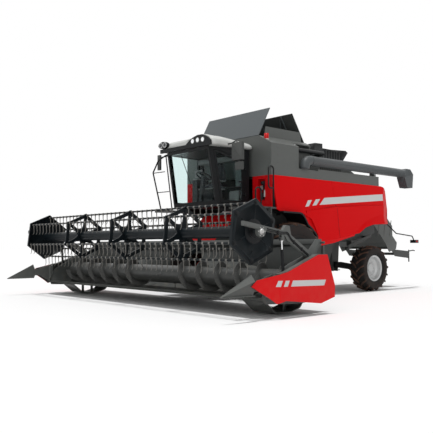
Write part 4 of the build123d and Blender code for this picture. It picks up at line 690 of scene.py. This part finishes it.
def tine_forms(x, z):
    """Bar across the reel with a clamp and a hanging finger at each place; a finger is a flattened tube
    whose middle line leans back and hooks forward at its tip."""
    bar, fingers = Form(), Form()
    bar.tube([(x, -HALF_REEL + 0.006, z), (x, HALF_REEL - 0.006, z)], 0.018, 16)
    # along the finger: height below the bar, how far it leans forward, and its width
    drop = np.array((0.010, -0.02, -0.050, -0.092, -0.138, -0.180, -0.217, -0.242))
    lean = np.array((0.0, -0.001, -0.002, -0.002, -0.006, -0.008, 0.004, 0.020))
    wide = np.array((0.017, 0.015, 0.0115, 0.0105, 0.0100, 0.0092, 0.0080, 0.0050))
    across, along = circle(8).T
    for y in -HALF_REEL + 2 * HALF_REEL * (np.arange(TINES) + 0.5) / TINES:
        fingers.shell([np.stack((x + back + size * 0.9 * across, y + size * 0.72 * along,
                                 0 * along + z + height), 1) for height, back, size in zip(drop, lean, wide)])
        fingers.turned(sleeve(0.022, 0.0185, 0.0235), (x, y, z), (0, 1, 0), 10, wrap=True)
    return bar, fingers


for number in range(1, 7):
    node = "tine_bar_%d" % number
    x, _, z = pivot(node + "_turn")
    bar, fingers = tine_forms(x, z)
    piece("tine_bar_form_%d" % number, bar, node, REEL_BLACK, [node])
    piece("tine_fingers_%d" % number, fingers, node, TINE)

# Bearings of the tine bars on the shields, two rings of bolts, and a raised ring about the shaft
reel = Form()
turn = np.radians(FIRST_CORNER + 60 * np.arange(6))
for side in (-1, 1):
    face, outward = REEL * (1, 0, 1) + (0, side * SHIELD_Y, 0), (0, side, 0)
    for spot in around_y(face, TINE_CIRCLE_R, turn):
        reel.turned(((-0.004, 0.046), (0.006, 0.046), (0.010, 0.030), (0.020, 0.028), (0.024, 0.016)),
                    spot, outward, 20)
    for reach, count, size in ((0.16, 8, 0.012), (0.33, 6, 0.010)):
        reel.bolts(around_y(face, reach, turn[0] + 2 * np.pi * np.arange(count) / count), outward, size)
    reel.turned(((-0.004, 0.21), (0.006, 0.21), (0.012, 0.195), (0.012, 0.11), (0.002, 0.10)),
                face, outward, 48)
piece("reel_fittings", reel, "reel", BLACK, smooth=30)

# ======================= Header auger =======================
AUGER = pivot("header_auger_spin")
AUGER_R, PITCH, STUB_R = 0.190, 0.560, 0.034
STUB_HALF = box("header_auger")[1][1]
AUGER_HALF = STUB_HALF - 0.032
FLIGHT_R = (box("header_auger")[1][2] - box("header_auger")[0][2]) / 2
FLIGHT_END = 0.620                      # inner end of a flight, where the fingers take over
FINGERS, FINGER_STEP, FINGER_TURN = 8, 0.140, 135


def flight_rows(start, end, hand):
    """Helical blade: a thin section of (radius, along) turned by 2 pi for each pitch of travel."""
    steps = int(40 * abs(end - start) / PITCH)
    along = np.linspace(start, end, steps + 1)
    turn = hand * 2 * np.pi * np.abs(along - start) / PITCH
    foot, edge = AUGER_R - 0.012, FLIGHT_R - 0.004
    section = ((foot, -0.004), (edge, -0.0035), (FLIGHT_R, 0.0), (edge, 0.0035), (foot, 0.004))
    rows = [np.stack((AUGER[0] + r * np.cos(turn), along + dy, AUGER[2] + r * np.sin(turn)), 1)
            for r, dy in section]
    return np.stack(rows, 1), (0.3, 0.8, 1.0, 0.8, 0.3)


auger = Form()
half_line = np.array([(STUB_HALF, STUB_R), (AUGER_HALF, STUB_R), (AUGER_HALF, AUGER_R - 0.004),
                      (AUGER_HALF - 0.004, AUGER_R)])
auger.turned(np.vstack((half_line * (-1, 1), half_line[::-1])), AUGER, (0, 1, 0), 64,
             mark=(0, 0, 0.2, 0.12, 0.12, 0.2, 0, 0))
for side in (1, -1):
    rows, mark = flight_rows(side * (AUGER_HALF - 0.012), side * FLIGHT_END, side)
    auger.shell(rows, mark=np.broadcast_to(mark, rows.shape[:2]))
for i in range(FINGERS):
    turn = math.radians(45 + FINGER_TURN * i)
    out = np.array((math.cos(turn), 0, math.sin(turn)))
    middle = np.array((AUGER[0], -0.490 + FINGER_STEP * i, AUGER[2]))
    auger.tube(middle + out * np.array((0.150, 0.280, 0.295))[:, None], (0.0085, 0.0085, 0.004), 10, 0.9)
    auger.turned(((-0.004, 0.038), (0.006, 0.034), (0.010, 0.016)), middle + 0.188 * out, out, 20, mark=0.5)
piece("auger_flights", auger, "header_auger", AUGER_GREY, ["header_auger"], 40)

# ======================= Stripes =======================
# Outlines of (x from the axle, z): two slanted bars and the long stripe
STRIPES = (((-0.41, 2.140), (-0.54, 2.155), (-0.655, 2.310), (-0.51, 2.295)),
           ((-0.67, 2.175), (-0.82, 2.190), (-0.965, 2.350), (-0.80, 2.330)),
           ((-0.94, 2.205), (-3.66, 2.435), (-3.64, 2.610), (-1.13, 2.385)))
stripes = Form()
for side in (1, -1):
    for outline in STRIPES:
        corners = from_axle([(x, side * (BODY_SIDE + PROUD), z) for x, z in outline])
        stripes.plate(corners, (0, side * 0.0025, 0))
piece("side_stripes", stripes, "chassis", STRIPE)

# ======================= Roof =======================
ROOF_LOW, ROOF_HIGH = box("cab_roof")
ROOF_HALF, ROOF_RIM = ROOF_HIGH[1], 3.460               # half width, and height of the lower edge
ROOF_BLEND = 0.012                      # how softly the crown runs into the hump
# From back to front, as shares of the length: height of the crown, and how much of the hump stands there
CROWN = ((0, 0.05, 0.5, 0.76, 0.95, 0.985, 1), (3.570, 3.618, 3.668, 3.692, 3.684, 3.665, 3.628))
ARCH_SHARE = ((0, 0.16, 0.6, 0.95, 1), (0.45, 0.68, 0.95, 1.02, 0.99))
ARCH_FOOT = 3.480
# columns: y and z of the hump over the lamps
ARCH = np.array([(0.00, 3.500), (0.06, 3.545), (0.130, 3.600), (0.290, 3.680), (0.470, 3.722), (0.640, 3.715),
                 (0.800, 3.645), (0.900, 3.560), (0.945, 3.500)])


def roof_height(x, y):
    """Crown that falls at the edges with the twelfth power of the share across, joined smoothly with the
    hump: height = (base + hump + sqrt((base - hump)^2 + blend^2)) / 2."""
    along = (x - ROOF_LOW[0]) / (ROOF_HIGH[0] - ROOF_LOW[0])
    top = np.interp(along, *CROWN)
    across = np.abs(y) / ROOF_HALF
    base = top - 0.10 * across ** 12 - 0.012 * across ** 2
    line = softened(ARCH, 3)
    hump = ARCH_FOOT + (np.interp(y, line[:, 0], line[:, 1]) - ARCH_FOOT) * np.interp(along, *ARCH_SHARE)
    hump = np.where((y < 0) | (y > ARCH[-1, 0]), 3.3, hump)
    return 0.5 * (base + hump + np.sqrt((base - hump) ** 2 + ROOF_BLEND ** 2)) - 0.003


def roof_form():
    """Shell of loops from back to front: each runs over the crown, round the rim and back underneath."""
    x = ROOF_LOW[0] + (ROOF_HIGH[0] - ROOF_LOW[0]) * (0.5 - 0.5 * np.cos(np.pi * np.linspace(0, 1, 30)))
    inside = np.minimum(x - ROOF_LOW[0], ROOF_HIGH[0] - x)
    half = ROOF_HALF - 0.06 * np.maximum(0, 1 - inside / 0.09) ** 2
    share = np.sin(np.pi / 2 * np.linspace(-1, 1, 65))[::-1]
    rows = []
    for place, wide in zip(x, half):
        y = wide * share
        under = ((-wide, ROOF_RIM + 0.012), (-wide + 0.012, ROOF_RIM), (0, ROOF_RIM),
                 (wide - 0.012, ROOF_RIM), (wide, ROOF_RIM + 0.012))
        line = np.vstack((np.stack((y, roof_height(place, y)), 1), under))
        rows.append(np.column_stack((np.full(len(line), place), line)))
    return Form().shell(rows)


roof = roof_form()
roof.bar((1.770, -0.735, 3.441), (2.880, 0.735, 3.462))           # lining that the cab's frame meets
piece("roof_shell", roof, "chassis", WHITE, ["cab_roof"], 50)

# columns: face's x, y and z of a lamp, and its radius; the last two are the dark ones of the right pod
LAMPS = ((2.985, 0.300, 3.580, 0.046), (2.985, 0.475, 3.588, 0.046), (2.985, 0.650, 3.580, 0.046),
         (3.000, -0.870, 3.620, 0.056), (3.000, -0.720, 3.620, 0.056))
lamp_rings, pod_lenses = Form(), Form()
for *face, radius in LAMPS:
    lamp_rings.turned(((-0.004, radius + 0.012), (0.003, radius + 0.010), (0.0035, radius + 0.004),
                       (-0.004, radius - 0.003)), np.array(face), (1, 0, 0), 32, wrap=True)
for x, y, z, _ in LAMPS[-2:]:
    pod_lenses.turned(((0.0, 0.050), (0.004, 0.050), (0.007, 0.040), (0.008, 0.010)), (x + 0.0035, y, z),
                      (1, 0, 0), 32)
piece("lamp_rings", lamp_rings, "chassis", STEEL)
piece("pod_lenses", pod_lenses, "chassis", DARK_LENS)


def pad(centre, size, lean=0.0, power=3.2, groove=0.008, rows=28, around=40):
    """Stuffed pad: a superellipsoid |x|^p + |y|^p + |z|^p = 1, its upper side dented by three seams that run
    fore and aft, each groove * exp(-(distance / 0.05)^2) deep, and leaned about Y."""
    v = np.linspace(-np.pi / 2, np.pi / 2, rows)[:, None]
    u = np.linspace(0, 2 * np.pi, around, endpoint=False)[None, :]

    def rise(value):
        """Power 2 / p of a sine or cosine, with its sign kept."""
        return np.sign(value) * np.abs(value) ** (2 / power)

    x, y, z = rise(np.cos(v)) * rise(np.cos(u)), rise(np.cos(v)) * rise(np.sin(u)), rise(np.sin(v)) + 0 * u
    dent = groove * sum(np.exp(-((y - s) / 0.05) ** 2) for s in (-0.45, 0.0, 0.45)) * np.maximum(z, 0)
    points = np.stack((x * size[0] / 2, y * size[1] / 2, z * size[2] / 2 - dent), -1)
    c, s = math.cos(lean), math.sin(lean)
    x, y, z = np.moveaxis(points, -1, 0)
    return np.stack((x * c + z * s, y, z * c - x * s), -1) + np.array(centre)


cushion = Form().shell(pad((2.150, 0, 2.628), (0.44, 0.49, 0.13)))
piece("seat_cushion", cushion, "chassis", FABRIC, ["seat"], 60)
backrest = Form().shell(pad((1.930, 0, 2.950), (0.50, 0.44, 0.115), math.radians(-79)))
piece("seat_backrest", backrest, "chassis", FABRIC, smooth=60)

interior = Form().bars((
    ((1.930, -0.24, 2.545), (2.36, 0.24, 2.575), 0.01),             # seat pan
    ((2.00, 0.27, 2.72), (2.33, 0.335, 2.755), 0.012),              # left armrest
    ((1.99, -0.47, 2.80), (2.345, -0.29, 2.83), 0.012),             # console's top
    ((2.30, -0.40, 2.85), (2.33, -0.16, 3.03), 0.008),              # monitor
))
interior.tube([(2.315, -0.30, 2.82), (2.315, -0.29, 2.93)], 0.012)
interior.tube([(2.24, -0.34, 2.83), (2.25, -0.34, 2.90), (2.255, -0.34, 2.915)], (0.012, 0.016, 0.020))
interior.bars((
    ((1.75, -0.78, 3.22), (1.90, 0.78, 3.36), 0.02),                # air duct under the roof
    ((1.715, -0.80, 2.20), (1.755, 0.80, 2.62), 0.01),              # rear trim below the window
    ((1.715, 0.40, 2.62), (1.745, 0.80, 3.22), 0.01),               # rear post
    ((1.76, -0.72, 2.20), (1.98, -0.42, 2.66), 0.02),               # right locker
    ((1.76, 0.40, 2.20), (1.95, 0.72, 2.50), 0.02),                 # left locker
))
for z in 2.26 + 0.12 * np.arange(3):
    interior.bar((1.756, -0.3, z), (1.764, 0.3, z + 0.05))          # louvres of the rear trim
piece("cab_interior", interior, "chassis", CABIN_GREY)

wiper = Form().tube([(2.907, -0.22, 3.335), (2.812, -0.10, 2.90), (2.757, -0.02, 2.62)], 0.008, 8)
piece("wiper", wiper, "chassis", BLACK)

# ======================= Body details =======================

def smooth_copy(node, body, slot):
    """Copy of a CAD mesh with its doubled points merged, so that its round faces shade smoothly."""
    mesh = NODES[node].data.copy()
    work = bmesh.new()
    work.from_mesh(mesh)
    bmesh.ops.remove_doubles(work, verts=work.verts, dist=1e-5)
    work.to_mesh(mesh)
    work.free()
    seated(node + "_smooth", mesh, NODE_FINISH[node], body, [node], 32)


# columns: node, body, slot
SMOOTHED = (("unloading_auger", "unloading_auger", "body_grey"), ("air_intake", "chassis", "black_plastic"),
            ("handrails", "chassis", "black_steel"), ("reel_frame", "reel", "black_steel"),
            ("tail_lamps", "chassis", "black_steel"), ("beacon", "chassis", "red_lens"),
            ("fenders", "chassis", "black_plastic"), ("reel_arms", "reel_arms", "header_grey"),
            ("header_frame", "header", "header_grey"), ("mirrors", "chassis", "black_plastic"))
for row in SMOOTHED:
    smooth_copy(*row)

# Recess of the left front wall: a canister, a valve block and rigid pipes between them
trim_black, trim_steel, trim_bolts = Form(), Form(), Form()
RECESS_X = 1.585
trim_steel.turned(((-0.09, 0.02), (-0.085, 0.052), (0.06, 0.052), (0.075, 0.03), (0.09, 0.02)),
                  (RECESS_X, 1.235, 2.42), (0, 0, 1), 28)
trim_steel.bar((1.56, 1.10, 2.50), (1.62, 1.17, 2.60), 0.006)
trim_black.bar((1.555, 1.12, 2.62), (1.625, 1.26, 2.70), 0.008)
trim_black.turned(((-0.07, 0.04), (0.07, 0.04)), (RECESS_X, 1.135, 2.36), (0, 0, 1), 24)
for k, y in enumerate((1.10, 1.15, 1.20, 1.25)):
    line = [(1.600, y, 2.26), (1.605, y + 0.01, 2.44 + 0.03 * k), (1.60, 1.19, 2.63)]
    trim_black.tube(rounded(line, 0.06), 0.007, 10)

# Bright duct from the feeder's left side to the front wall, below the platform, with three collars
DUCT_R = 0.036
path = rounded([(2.05, 0.30, 2.000), (2.05, 0.62, 2.025), (1.93, 0.84, 1.985), (1.72, 0.86, 1.90)], 0.16, 8)
duct = Form().tube(path, DUCT_R, 24)
for place in (3, 9, 15):
    duct.turned(sleeve(0.010, DUCT_R, 0.042), path[place], path[place + 1] - path[place - 1], 24, wrap=True)

# Ribs inside both tank flaps, as (x, z) of the hinge, the tip and the way in, and a prop on the rear one
RIB_Y, RIB_W = (-0.72, 0.0, 0.72), 0.030
for node, paint, *line in (
        ("tank_flap_front", DARK, (1.636, 3.80), (1.272, 4.445), (-0.871, -0.491)),
        ("tank_flap_rear", SLATE, (0.064, 3.80), (0.478, 4.425), (0.834, -0.552))):
    hinge, tip, inward = (np.array((x, 0, z)) for x, z in line)
    ribs = Form()
    for y in RIB_Y:
        base, across = (0, y, 0) + inward * 0.009, np.array((0, RIB_W / 2, 0))
        ribs.plate([hinge + base - across, hinge + base + across, tip + base + across, tip + base - across],
                   inward * 0.022, 0.004)
    if node == "tank_flap_rear":
        prop = [hinge + (0.10, 0.30, 0.05), hinge + (0.16, 0.50, 0.20), tip + (-0.02, 0.66, -0.06)]
        ribs.tube(prop, 0.013, 12)
    piece(node + "_ribs", ribs, node, paint)

# Bolts along the joints of the tank and the deck, flush latches of the side panels, and swages of the hood
DECK_LOW, DECK_HIGH = box("engine_deck")
TANK_LOW, TANK_HIGH = box("grain_tank")
BOLT_Y, JOINT_Z = BODY_SIDE + 2 * PROUD, 2.86
LATCH = ((-0.05, -0.018), (0.05, -0.018), (0.06, 0), (0.05, 0.018), (-0.05, 0.018), (-0.06, 0))
bolt_rows = ([(x, JOINT_Z) for x in np.linspace(TANK_LOW[0] + 0.10, TANK_HIGH[0] - 0.45, 5)]
             + [(x, JOINT_Z) for x in np.linspace(DECK_LOW[0] + 0.25, DECK_HIGH[0] - 0.10, 10)]
             + [(1.45, z) for z in np.linspace(2.95, 3.45, 4)])
for side in (1, -1):
    trim_bolts.bolts([(x, side * BOLT_Y, z) for x, z in bolt_rows], (0, side, 0), 0.009, 0.007)
    for x in (-0.62, -1.95):
        trim_black.plate([(x + dx, side * (BODY_SIDE + PROUD), 2.07 + dz) for dx, dz in LATCH],
                         (0, side * 0.006, 0), 0.002)
hood_y = box("straw_hood")[1][1] + 0.001
for side in (1, -1):
    for x in (-3.45, -3.75, -4.05):
        trim_bolts.tube([(x, side * hood_y, 1.50), (x - 0.08, side * hood_y, 1.95)], 0.010, 10)

# Catch and lock of the cab's door
door_y = box("door_frame")[1][1]
catch = Form().bar((2.02, door_y - 0.003, 2.66), (2.13, door_y + 0.017, 2.69), 0.006)
catch.turned(((0, 0.018), (0.012, 0.018), (0.016, 0.010)), (2.075, door_y, 2.60), (0, 1, 0), 16)
piece("door_catch", catch, "cab_door", SOOT)

# White foot of the beacon
foot_x, foot_y, _ = np.mean(box("beacon"), 0)
foot = Form().turned(((0, 0.030), (0.0, 0.060), (0.030, 0.060), (0.038, 0.050)), (foot_x, foot_y, 3.640),
                     (0, 0, 1), 28)
piece("beacon_foot", foot, "chassis", WHITE)

# Lenses of the tail lamps, and round reflectors on their sides
lenses = Form()
lamp_x, lamp_y = box("tail_lamps")[0][0], box("tail_lamps")[1][1]
for side in (1, -1):
    lenses.bar((lamp_x - 0.0025, side * 1.215, 1.300), (lamp_x + 0.003, side * 1.295, 1.370), 0.002)
    lenses.turned(((-0.003, 0.030), (0.004, 0.030), (0.006, 0.024)),
                  (lamp_x + 0.095, side * (lamp_y + 0.0005), 1.335), (0, side, 0), 24)
piece("tail_lenses", lenses, "chassis", RED_LENS)

# Panes of the mirrors, which face the rear
panes = Form().bars((
    ((2.683, 1.375, 3.07), (2.687, 1.645, 3.41), 0.001),
    ((2.689, 1.47, 2.86), (2.693, 1.64, 2.99), 0.001),
    ((2.7613, -1.265, 3.10), (2.7645, -1.175, 3.43), 0.001),
))
piece("mirror_panes", panes, "chassis", MIRROR)

# Back of the header: upright ribs, and a covered drive along the top in its bearings
DRIVE_X, DRIVE_Z, DRIVE_R = 2.84, 1.275, 0.022
header_back = Form()
for side in (1, -1):
    for y in (1.15, 1.85, 2.55, 3.25, 3.85):
        header_back.bar((2.800, side * y - 0.02, 0.42), (2.835, side * y + 0.02, 1.22), 0.006)
    header_back.tube([(DRIVE_X, side * 0.95, DRIVE_Z), (DRIVE_X, side * 3.90, DRIVE_Z)], DRIVE_R, 16)
    for y in (1.5, 2.2, 2.9, 3.6):
        header_back.turned(sleeve(0.03, DRIVE_R, 0.030), (DRIVE_X, side * y, DRIVE_Z), (0, 1, 0), 16,
                           wrap=True)
piece("header_ribs", header_back, "header", GREY)

# Two rigid pipes along each reel arm, as (x from the axle, z), in three clamps, and the shaft's steel ends
ARM_LINE = ((2.42, 1.060), (2.88, 1.345), (2.955, 1.455), (3.08, 1.440), (3.46, 1.500))
CLAMPS = ((2.60, 1.158), (2.80, 1.282), (3.20, 1.445))
ARM_PIPE_R = 0.009
ARM_SIDE = box("reel_arms")[1][1]
arm_pipes, shaft_ends = Form(), Form()
for side in (1, -1):
    for drop in (0.0, 0.028):
        path = from_axle([(x, side * (ARM_SIDE + ARM_PIPE_R), z - drop) for x, z in ARM_LINE])
        arm_pipes.tube(rounded(path, 0.06), ARM_PIPE_R, 10)
    for x, z in CLAMPS:
        arm_pipes.bar(*from_axle([(x - 0.015, side * (ARM_SIDE - 0.003), z - 0.035),
                                  (x + 0.015, side * (ARM_SIDE + 0.022), z + 0.030)]))
    end, outward = REEL * (1, 0, 1) + (0, side * (ARM_SIDE - 0.004), 0), (0, side, 0)
    shaft_ends.turned(((-0.012, 0.054), (0.006, 0.054), (0.014, 0.040), (0.022, 0.036), (0.026, 0.022)), end,
                      outward, 28)
    shaft_ends.bolts(around_y(end, 0.075, np.pi / 3 * np.arange(6)), outward, 0.009, 0.008)
piece("arm_pipes", arm_pipes, "reel_arms", SOOT)
piece("shaft_ends", shaft_ends, "reel_arms", STEEL)
piece("trim_black", trim_black, "chassis", SOOT)
piece("trim_steel", trim_steel, "chassis", STEEL)
piece("front_duct", duct, "chassis", SILVER)
piece("trim_bolts", trim_bolts, "chassis", CHARCOAL)

# ======================= Sculpted lower side =======================
# columns from the tail forwards: x from the axle, height of the panel's lower edge, height of the crease
SIDE_EDGES = np.array([
    (-4.02, 1.816, 2.330), (-3.56, 1.806, 2.312), (-3.13, 1.776, 2.295), (-2.81, 1.696, 2.283),
    (-2.50, 1.538, 2.266), (-2.43, 1.528, 2.262), (-1.57, 1.390, 2.200), (-0.90, 1.320, 2.117),
    (-0.885, 1.465, 2.115), (-0.80, 1.628, 2.102), (-0.64, 1.858, 2.078), (-0.46, 1.925, 2.050)])
TAIL_BEND, TAIL_TURN = -3.68, 0.17 / 0.44       # where the panel turns in, and by how much a metre
SHELF, LIP = 0.034, 0.033                       # how far they stand out
ARCH_FRONT = -2.40                              # front of the rear wheel arch, where the lip ends
PANEL_BACK = 0.012                              # depth of the closed shell behind its innermost point


def side_edges(x):
    """Height of the lower edge and of the crease at x."""
    return np.interp(x, SIDE_EDGES[:, 0], SIDE_EDGES[:, 1]), np.interp(x, SIDE_EDGES[:, 0], SIDE_EDGES[:, 2])


def side_face(x, z):
    """Outer face of the lower side: the flat panel, turned in at the tail, plus the larger of a shelf, which
    rises within 28 mm below the crease and fades downwards with the power 1.5 of what is left, and a lip,
    which flares evenly towards the edge of the rear arch."""
    low, high = side_edges(x)
    flat = BODY_SIDE - TAIL_TURN * np.maximum(0, TAIL_BEND - x)
    below = np.maximum(high - z, 0)
    along = np.interp(x, (-3.95, -3.3, -1.1, -0.5), (0.0, 0.75, 1.0, 0.0))
    fall = np.clip(1 - below / np.maximum(0.75 * (high - low), 0.05), 0, 1)
    shelf = SHELF * along * np.clip(below / 0.028, 0, 1) * fall ** 1.5
    reach = np.interp(x, (-4.02, -3.70, -3.13, -2.68, -2.44, -2.40), (0.25, 0.26, 0.18, 0.10, 0.03, 0.02))
    lip = np.where(x < ARCH_FRONT, LIP * np.clip(1 - (z - low) / reach, 0, 1), 0)
    return flat + 0.0025 + np.maximum(shelf, lip)


x = np.unique(np.concatenate((np.linspace(-4.02, -0.46, 110), SIDE_EDGES[:, 0])))[:, None]
low, high = side_edges(x)
z = low + (high - low) * np.concatenate((np.linspace(0, 0.80, 22), np.linspace(0.82, 1.0, 16)))
face = np.stack((x + AXLE_X + 0 * z, side_face(x, z), z), -1)
back = face[:, [-1, 0]]
back[..., 1] = face[..., 1].min(1, keepdims=True) - PANEL_BACK
sculpture = Form().shell(np.concatenate((face, back), 1)).mirrored()
piece("side_sculpture", sculpture, "chassis", RED, smooth=24)

# Joint between the two side panels, drawn over the sculpted face
z = np.linspace(1.405, 2.212, 30)
x = np.interp(z, (1.35, 2.03, 2.82), (-1.750, -1.630, -1.420))
seams = Form().tube(np.stack((x + AXLE_X, side_face(x, z) + 0.0005, z), 1), 0.003, 8).mirrored()
piece("side_seams", seams, "chassis", SOOT)

# ======================= Studio and camera =======================

WORLD_LIGHT = 0.38          # the world's strength on the object; rays that show it see 1, which is white
# columns: name, place it shines from, strength, angle in degrees that softens its shadow
SUNS = (("overhead", (1.2, 0.4, 10), 1.9, 5), ("front", (10, 8, 5), 0.60, 60))


def linked(name, data):
    """Object that holds a lamp or a camera, put into the scene."""
    holder = bpy.data.objects.new(name, data)
    bpy.context.scene.collection.objects.link(holder)
    return holder


def studio():
    """White floor that keeps the shadow, soft white world, and broad lights from above and from the front."""
    bpy.ops.mesh.primitive_plane_add(size=400, location=(0, 0, 0))
    floor = bpy.context.object
    floor.name = "studio_floor"
    material, _, shader = new_material("floor_white")
    set_inputs(shader, Base_Color=(0.98, 0.98, 0.98, 1), Roughness=0.95, Specular_IOR_Level=0.0)
    floor.data.materials.append(material)
    world = bpy.data.worlds.new("studio_world")
    bpy.context.scene.world = world
    world.use_nodes = True
    tree = world.node_tree
    backdrop = tree.nodes["Background"]
    set_inputs(backdrop, Color=(1, 1, 1, 1))
    rays = add(tree, "LightPath")
    seen = maths(tree, "MAXIMUM", rays.outputs["Is Camera Ray"], rays.outputs["Is Glossy Ray"])
    seen = maths(tree, "MAXIMUM", seen, rays.outputs["Is Transmission Ray"])
    strength = add(tree, "MapRange", To_Min=WORLD_LIGHT, To_Max=1.0)
    tree.links.new(seen, strength.inputs["Value"])
    tree.links.new(strength.outputs["Result"], backdrop.inputs["Strength"])
    for name, place, power, angle in SUNS:
        lamp = bpy.data.lights.new(name, "SUN")
        lamp.energy = power
        lamp.angle = math.radians(angle)
        holder = linked(name, lamp)
        holder.location = place
        holder.rotation_euler = (-Vector(place)).to_track_quat("-Z", "Y").to_euler()


CAMERA_PLACE = (11.834, 11.032, 1.218)
CAMERA_TURN = (228.274, 2.7146, -0.1404)        # yaw, pitch and roll in degrees
CAMERA_LENS = 51.50


def camera():
    """Camera at the left front, low down, looking slightly up."""
    yaw, pitch, roll = np.radians(CAMERA_TURN)
    ahead = Vector((math.cos(yaw) * math.cos(pitch), math.sin(yaw) * math.cos(pitch), math.sin(pitch)))
    right = ahead.cross(Vector((0, 0, 1))).normalized()
    up = right.cross(ahead)
    tilted_right = right * math.cos(roll) + up * math.sin(roll)
    tilted_up = -right * math.sin(roll) + up * math.cos(roll)
    turn = Matrix((tilted_right, tilted_up, -ahead)).transposed().to_4x4()
    lens = bpy.data.cameras.new("camera")
    lens.lens = CAMERA_LENS
    lens.sensor_width = 36
    lens.clip_end = 500
    holder = linked("camera", lens)
    holder.matrix_world = Matrix.Translation(CAMERA_PLACE) @ turn
    bpy.context.scene.camera = holder


studio()
camera()
bpy.context.scene.view_settings.view_transform = "Standard"
